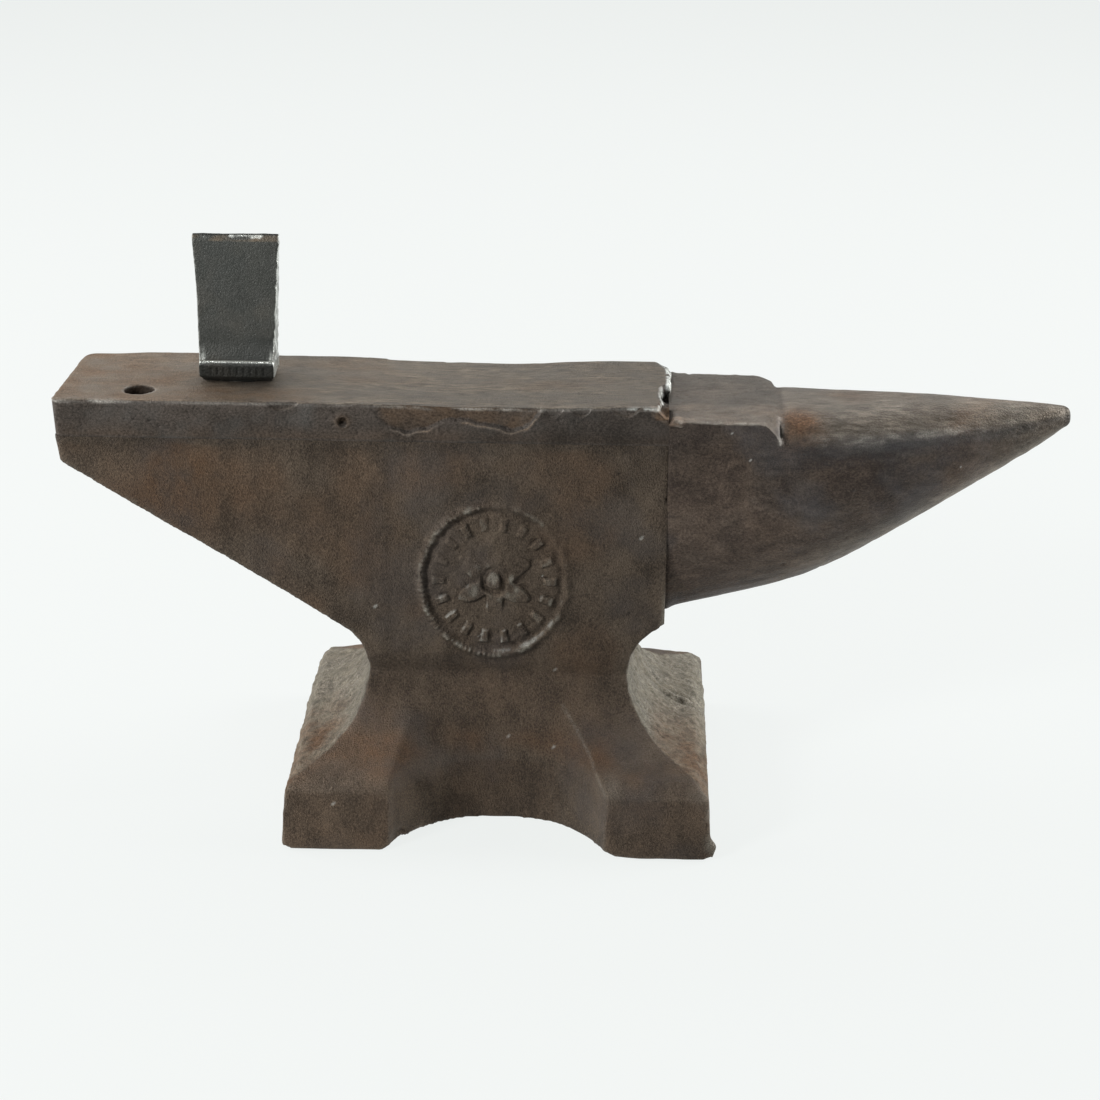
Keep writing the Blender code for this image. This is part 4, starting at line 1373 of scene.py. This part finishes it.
FACE_STEEL = {
    "dark": (0.032, 0.026, 0.021), "light": (0.079, 0.065, 0.055),
    "polish_and_lit_dark": (0.060, 0.049, 0.037), "polish_and_lit_pale": (0.172, 0.144, 0.110),
    "tint": (0.100, 0.089, 0.074), "grey_and_sheen": (0.088, 0.088, 0.084), "streak": (6, 1, 1), "grit": 0.16,
    "rust_dark": (0.060, 0.038, 0.024), "rust_light": (0.128, 0.086, 0.055),
    "wear_and_highlight": (0.42, 0.40, 0.36), "bare_and_glint": (0.66, 0.68, 0.64),
    "grain": 1.0, "mottle": 14.0, "stretch": (1.4, 1.0, 1.0),
    "rough": 0.55, "polish_rough": 0.52, "metal": 0.45, "polish_metal": 0.25, "specular": 0.2,
    "hollow": 0.4, "worn": 0.9, "grain_depth": 0.6, "speck_depth": 0.15,
}
HORN_STEEL = {
    "dark": (0.030, 0.022, 0.018), "light": (0.068, 0.053, 0.042),
    "polish_and_lit_dark": (0.084, 0.070, 0.054), "polish_and_lit_pale": (0.196, 0.170, 0.138),
    "tint": (0.095, 0.085, 0.070), "grey_and_sheen": (0.052, 0.052, 0.056), "streak": (6, 1, 1), "grit": 0.20,
    "rust_dark": (0.062, 0.036, 0.022), "rust_light": (0.150, 0.087, 0.050),
    "wear_and_highlight": (0.34, 0.32, 0.28), "bare_and_glint": (0.6, 0.6, 0.57),
    "grain": 1.0, "mottle": 18.0, "stretch": (1.3, 1.0, 1.0),
    "rough": 0.50, "polish_rough": 0.46, "metal": 0.5, "polish_metal": 0.3, "specular": 0.25,
    "hollow": 0.45, "worn": 0.8, "grain_depth": 0.6, "speck_depth": 0.15,
}
TOOL_STEEL = {
    "dark": (0.040, 0.042, 0.037), "light": (0.062, 0.063, 0.057),
    "polish_and_lit_dark": (0.10, 0.10, 0.095), "polish_and_lit_pale": (0.15, 0.15, 0.14),
    "tint": (0.1, 0.1, 0.1), "grey_and_sheen": (0.048, 0.051, 0.048), "streak": (1, 1, 4), "grit": 0.12,
    "rust_dark": (0.085, 0.066, 0.047), "rust_light": (0.165, 0.130, 0.092),
    "wear_and_highlight": (0.40, 0.41, 0.38), "bare_and_glint": (0.62, 0.64, 0.60),
    "grain": 0.9, "mottle": 12.0, "stretch": (1.0, 1.0, 1.0),
    "rough": 0.45, "polish_rough": 0.40, "metal": 0.5, "polish_metal": 0.5, "specular": 0.3,
    "hollow": 0.4, "worn": 0.9, "grain_depth": 0.3, "speck_depth": 0.10,
}


# ---- pieces, floor, light and camera

PIECES = (
    ("body", "anvil", shape_body, mask_body, CAST_IRON),
    ("face_plate", "anvil", shape_plate, mask_plate, FACE_STEEL),
    ("horn", "anvil", shape_horn, mask_horn, HORN_STEEL),
    ("hardy_tool", "hardy", shape_tool, mask_tool, TOOL_STEEL),
)


def make_pieces():
    """Shape, mask and finish each piece in place of its CAD node."""
    for name, body, shape, mask, look in PIECES:
        surface = Surface(name)
        shape(surface)
        mask(surface)
        surface.finish(worn_metal("worn_" + name, look), body)


def make_floor():
    """Large plain white floor that glows a little, so that shadows on it stay faint."""
    mesh = bpy.data.meshes.new("floor")
    shape = bmesh.new()
    bmesh.ops.create_grid(shape, x_segments=1, y_segments=1, size=FLOOR_SIZE)
    shape.to_mesh(mesh)
    shape.free()
    floor = bpy.data.objects.new("floor", mesh)
    bpy.context.collection.objects.link(floor)
    graph = Graph("white_floor")
    for name, value in FLOOR_LOOK.items():
        graph.put(value, graph.shader.inputs[name])
    mesh.materials.append(graph.material)


def make_light(name, place, size, power):
    """Soft rectangular light turned towards the anvil."""
    data = bpy.data.lights.new(name, "AREA")
    data.shape = "RECTANGLE"
    data.size, data.size_y = size
    data.energy = power
    light = bpy.data.objects.new(name, data)
    light.location = place
    light.rotation_euler = (Vector(LIGHT_AIM) - Vector(place)).to_track_quat("-Z", "Y").to_euler()
    bpy.context.collection.objects.link(light)


def make_lights():
    """Studio lights and a faint even sky."""
    for light in LIGHTS:
        make_light(*light)
    world = bpy.data.worlds.new("studio")
    world.use_nodes = True
    background = world.node_tree.nodes["Background"]
    background.inputs["Color"].default_value = SKY_COLOUR
    background.inputs["Strength"].default_value = SKY_STRENGTH
    bpy.context.scene.world = world


def camera_turn():
    """Rotation from the camera's yaw, its pitch, and a roll about the line of sight."""
    pitch, yaw, roll = (math.radians(angle) for angle in (CAMERA_PITCH, CAMERA_YAW, CAMERA_ROLL))
    ahead = Vector((-math.sin(yaw) * math.cos(pitch), math.cos(yaw) * math.cos(pitch), -math.sin(pitch)))
    level = Vector((math.cos(yaw), math.sin(yaw), 0.0))
    down = ahead.cross(level)
    right = level * math.cos(roll) + down * math.sin(roll)
    down = down * math.cos(roll) - level * math.sin(roll)
    return Matrix((right, -down, -ahead)).transposed().to_4x4()


def make_camera():
    """Camera in front of the anvil and above it."""
    data = bpy.data.cameras.new("camera")
    data.lens = CAMERA_LENS
    data.sensor_width = SENSOR
    data.clip_start, data.clip_end = CAMERA_CLIP
    camera = bpy.data.objects.new("camera", data)
    camera.matrix_world = Matrix.Translation(Vector(CAMERA_PLACE) * MM) @ camera_turn()
    bpy.context.collection.objects.link(camera)
    bpy.context.scene.camera = camera


def main():
    bpy.context.scene.view_settings.view_transform = "Standard"
    make_camera()
    make_pieces()
    make_floor()
    make_lights()


main()
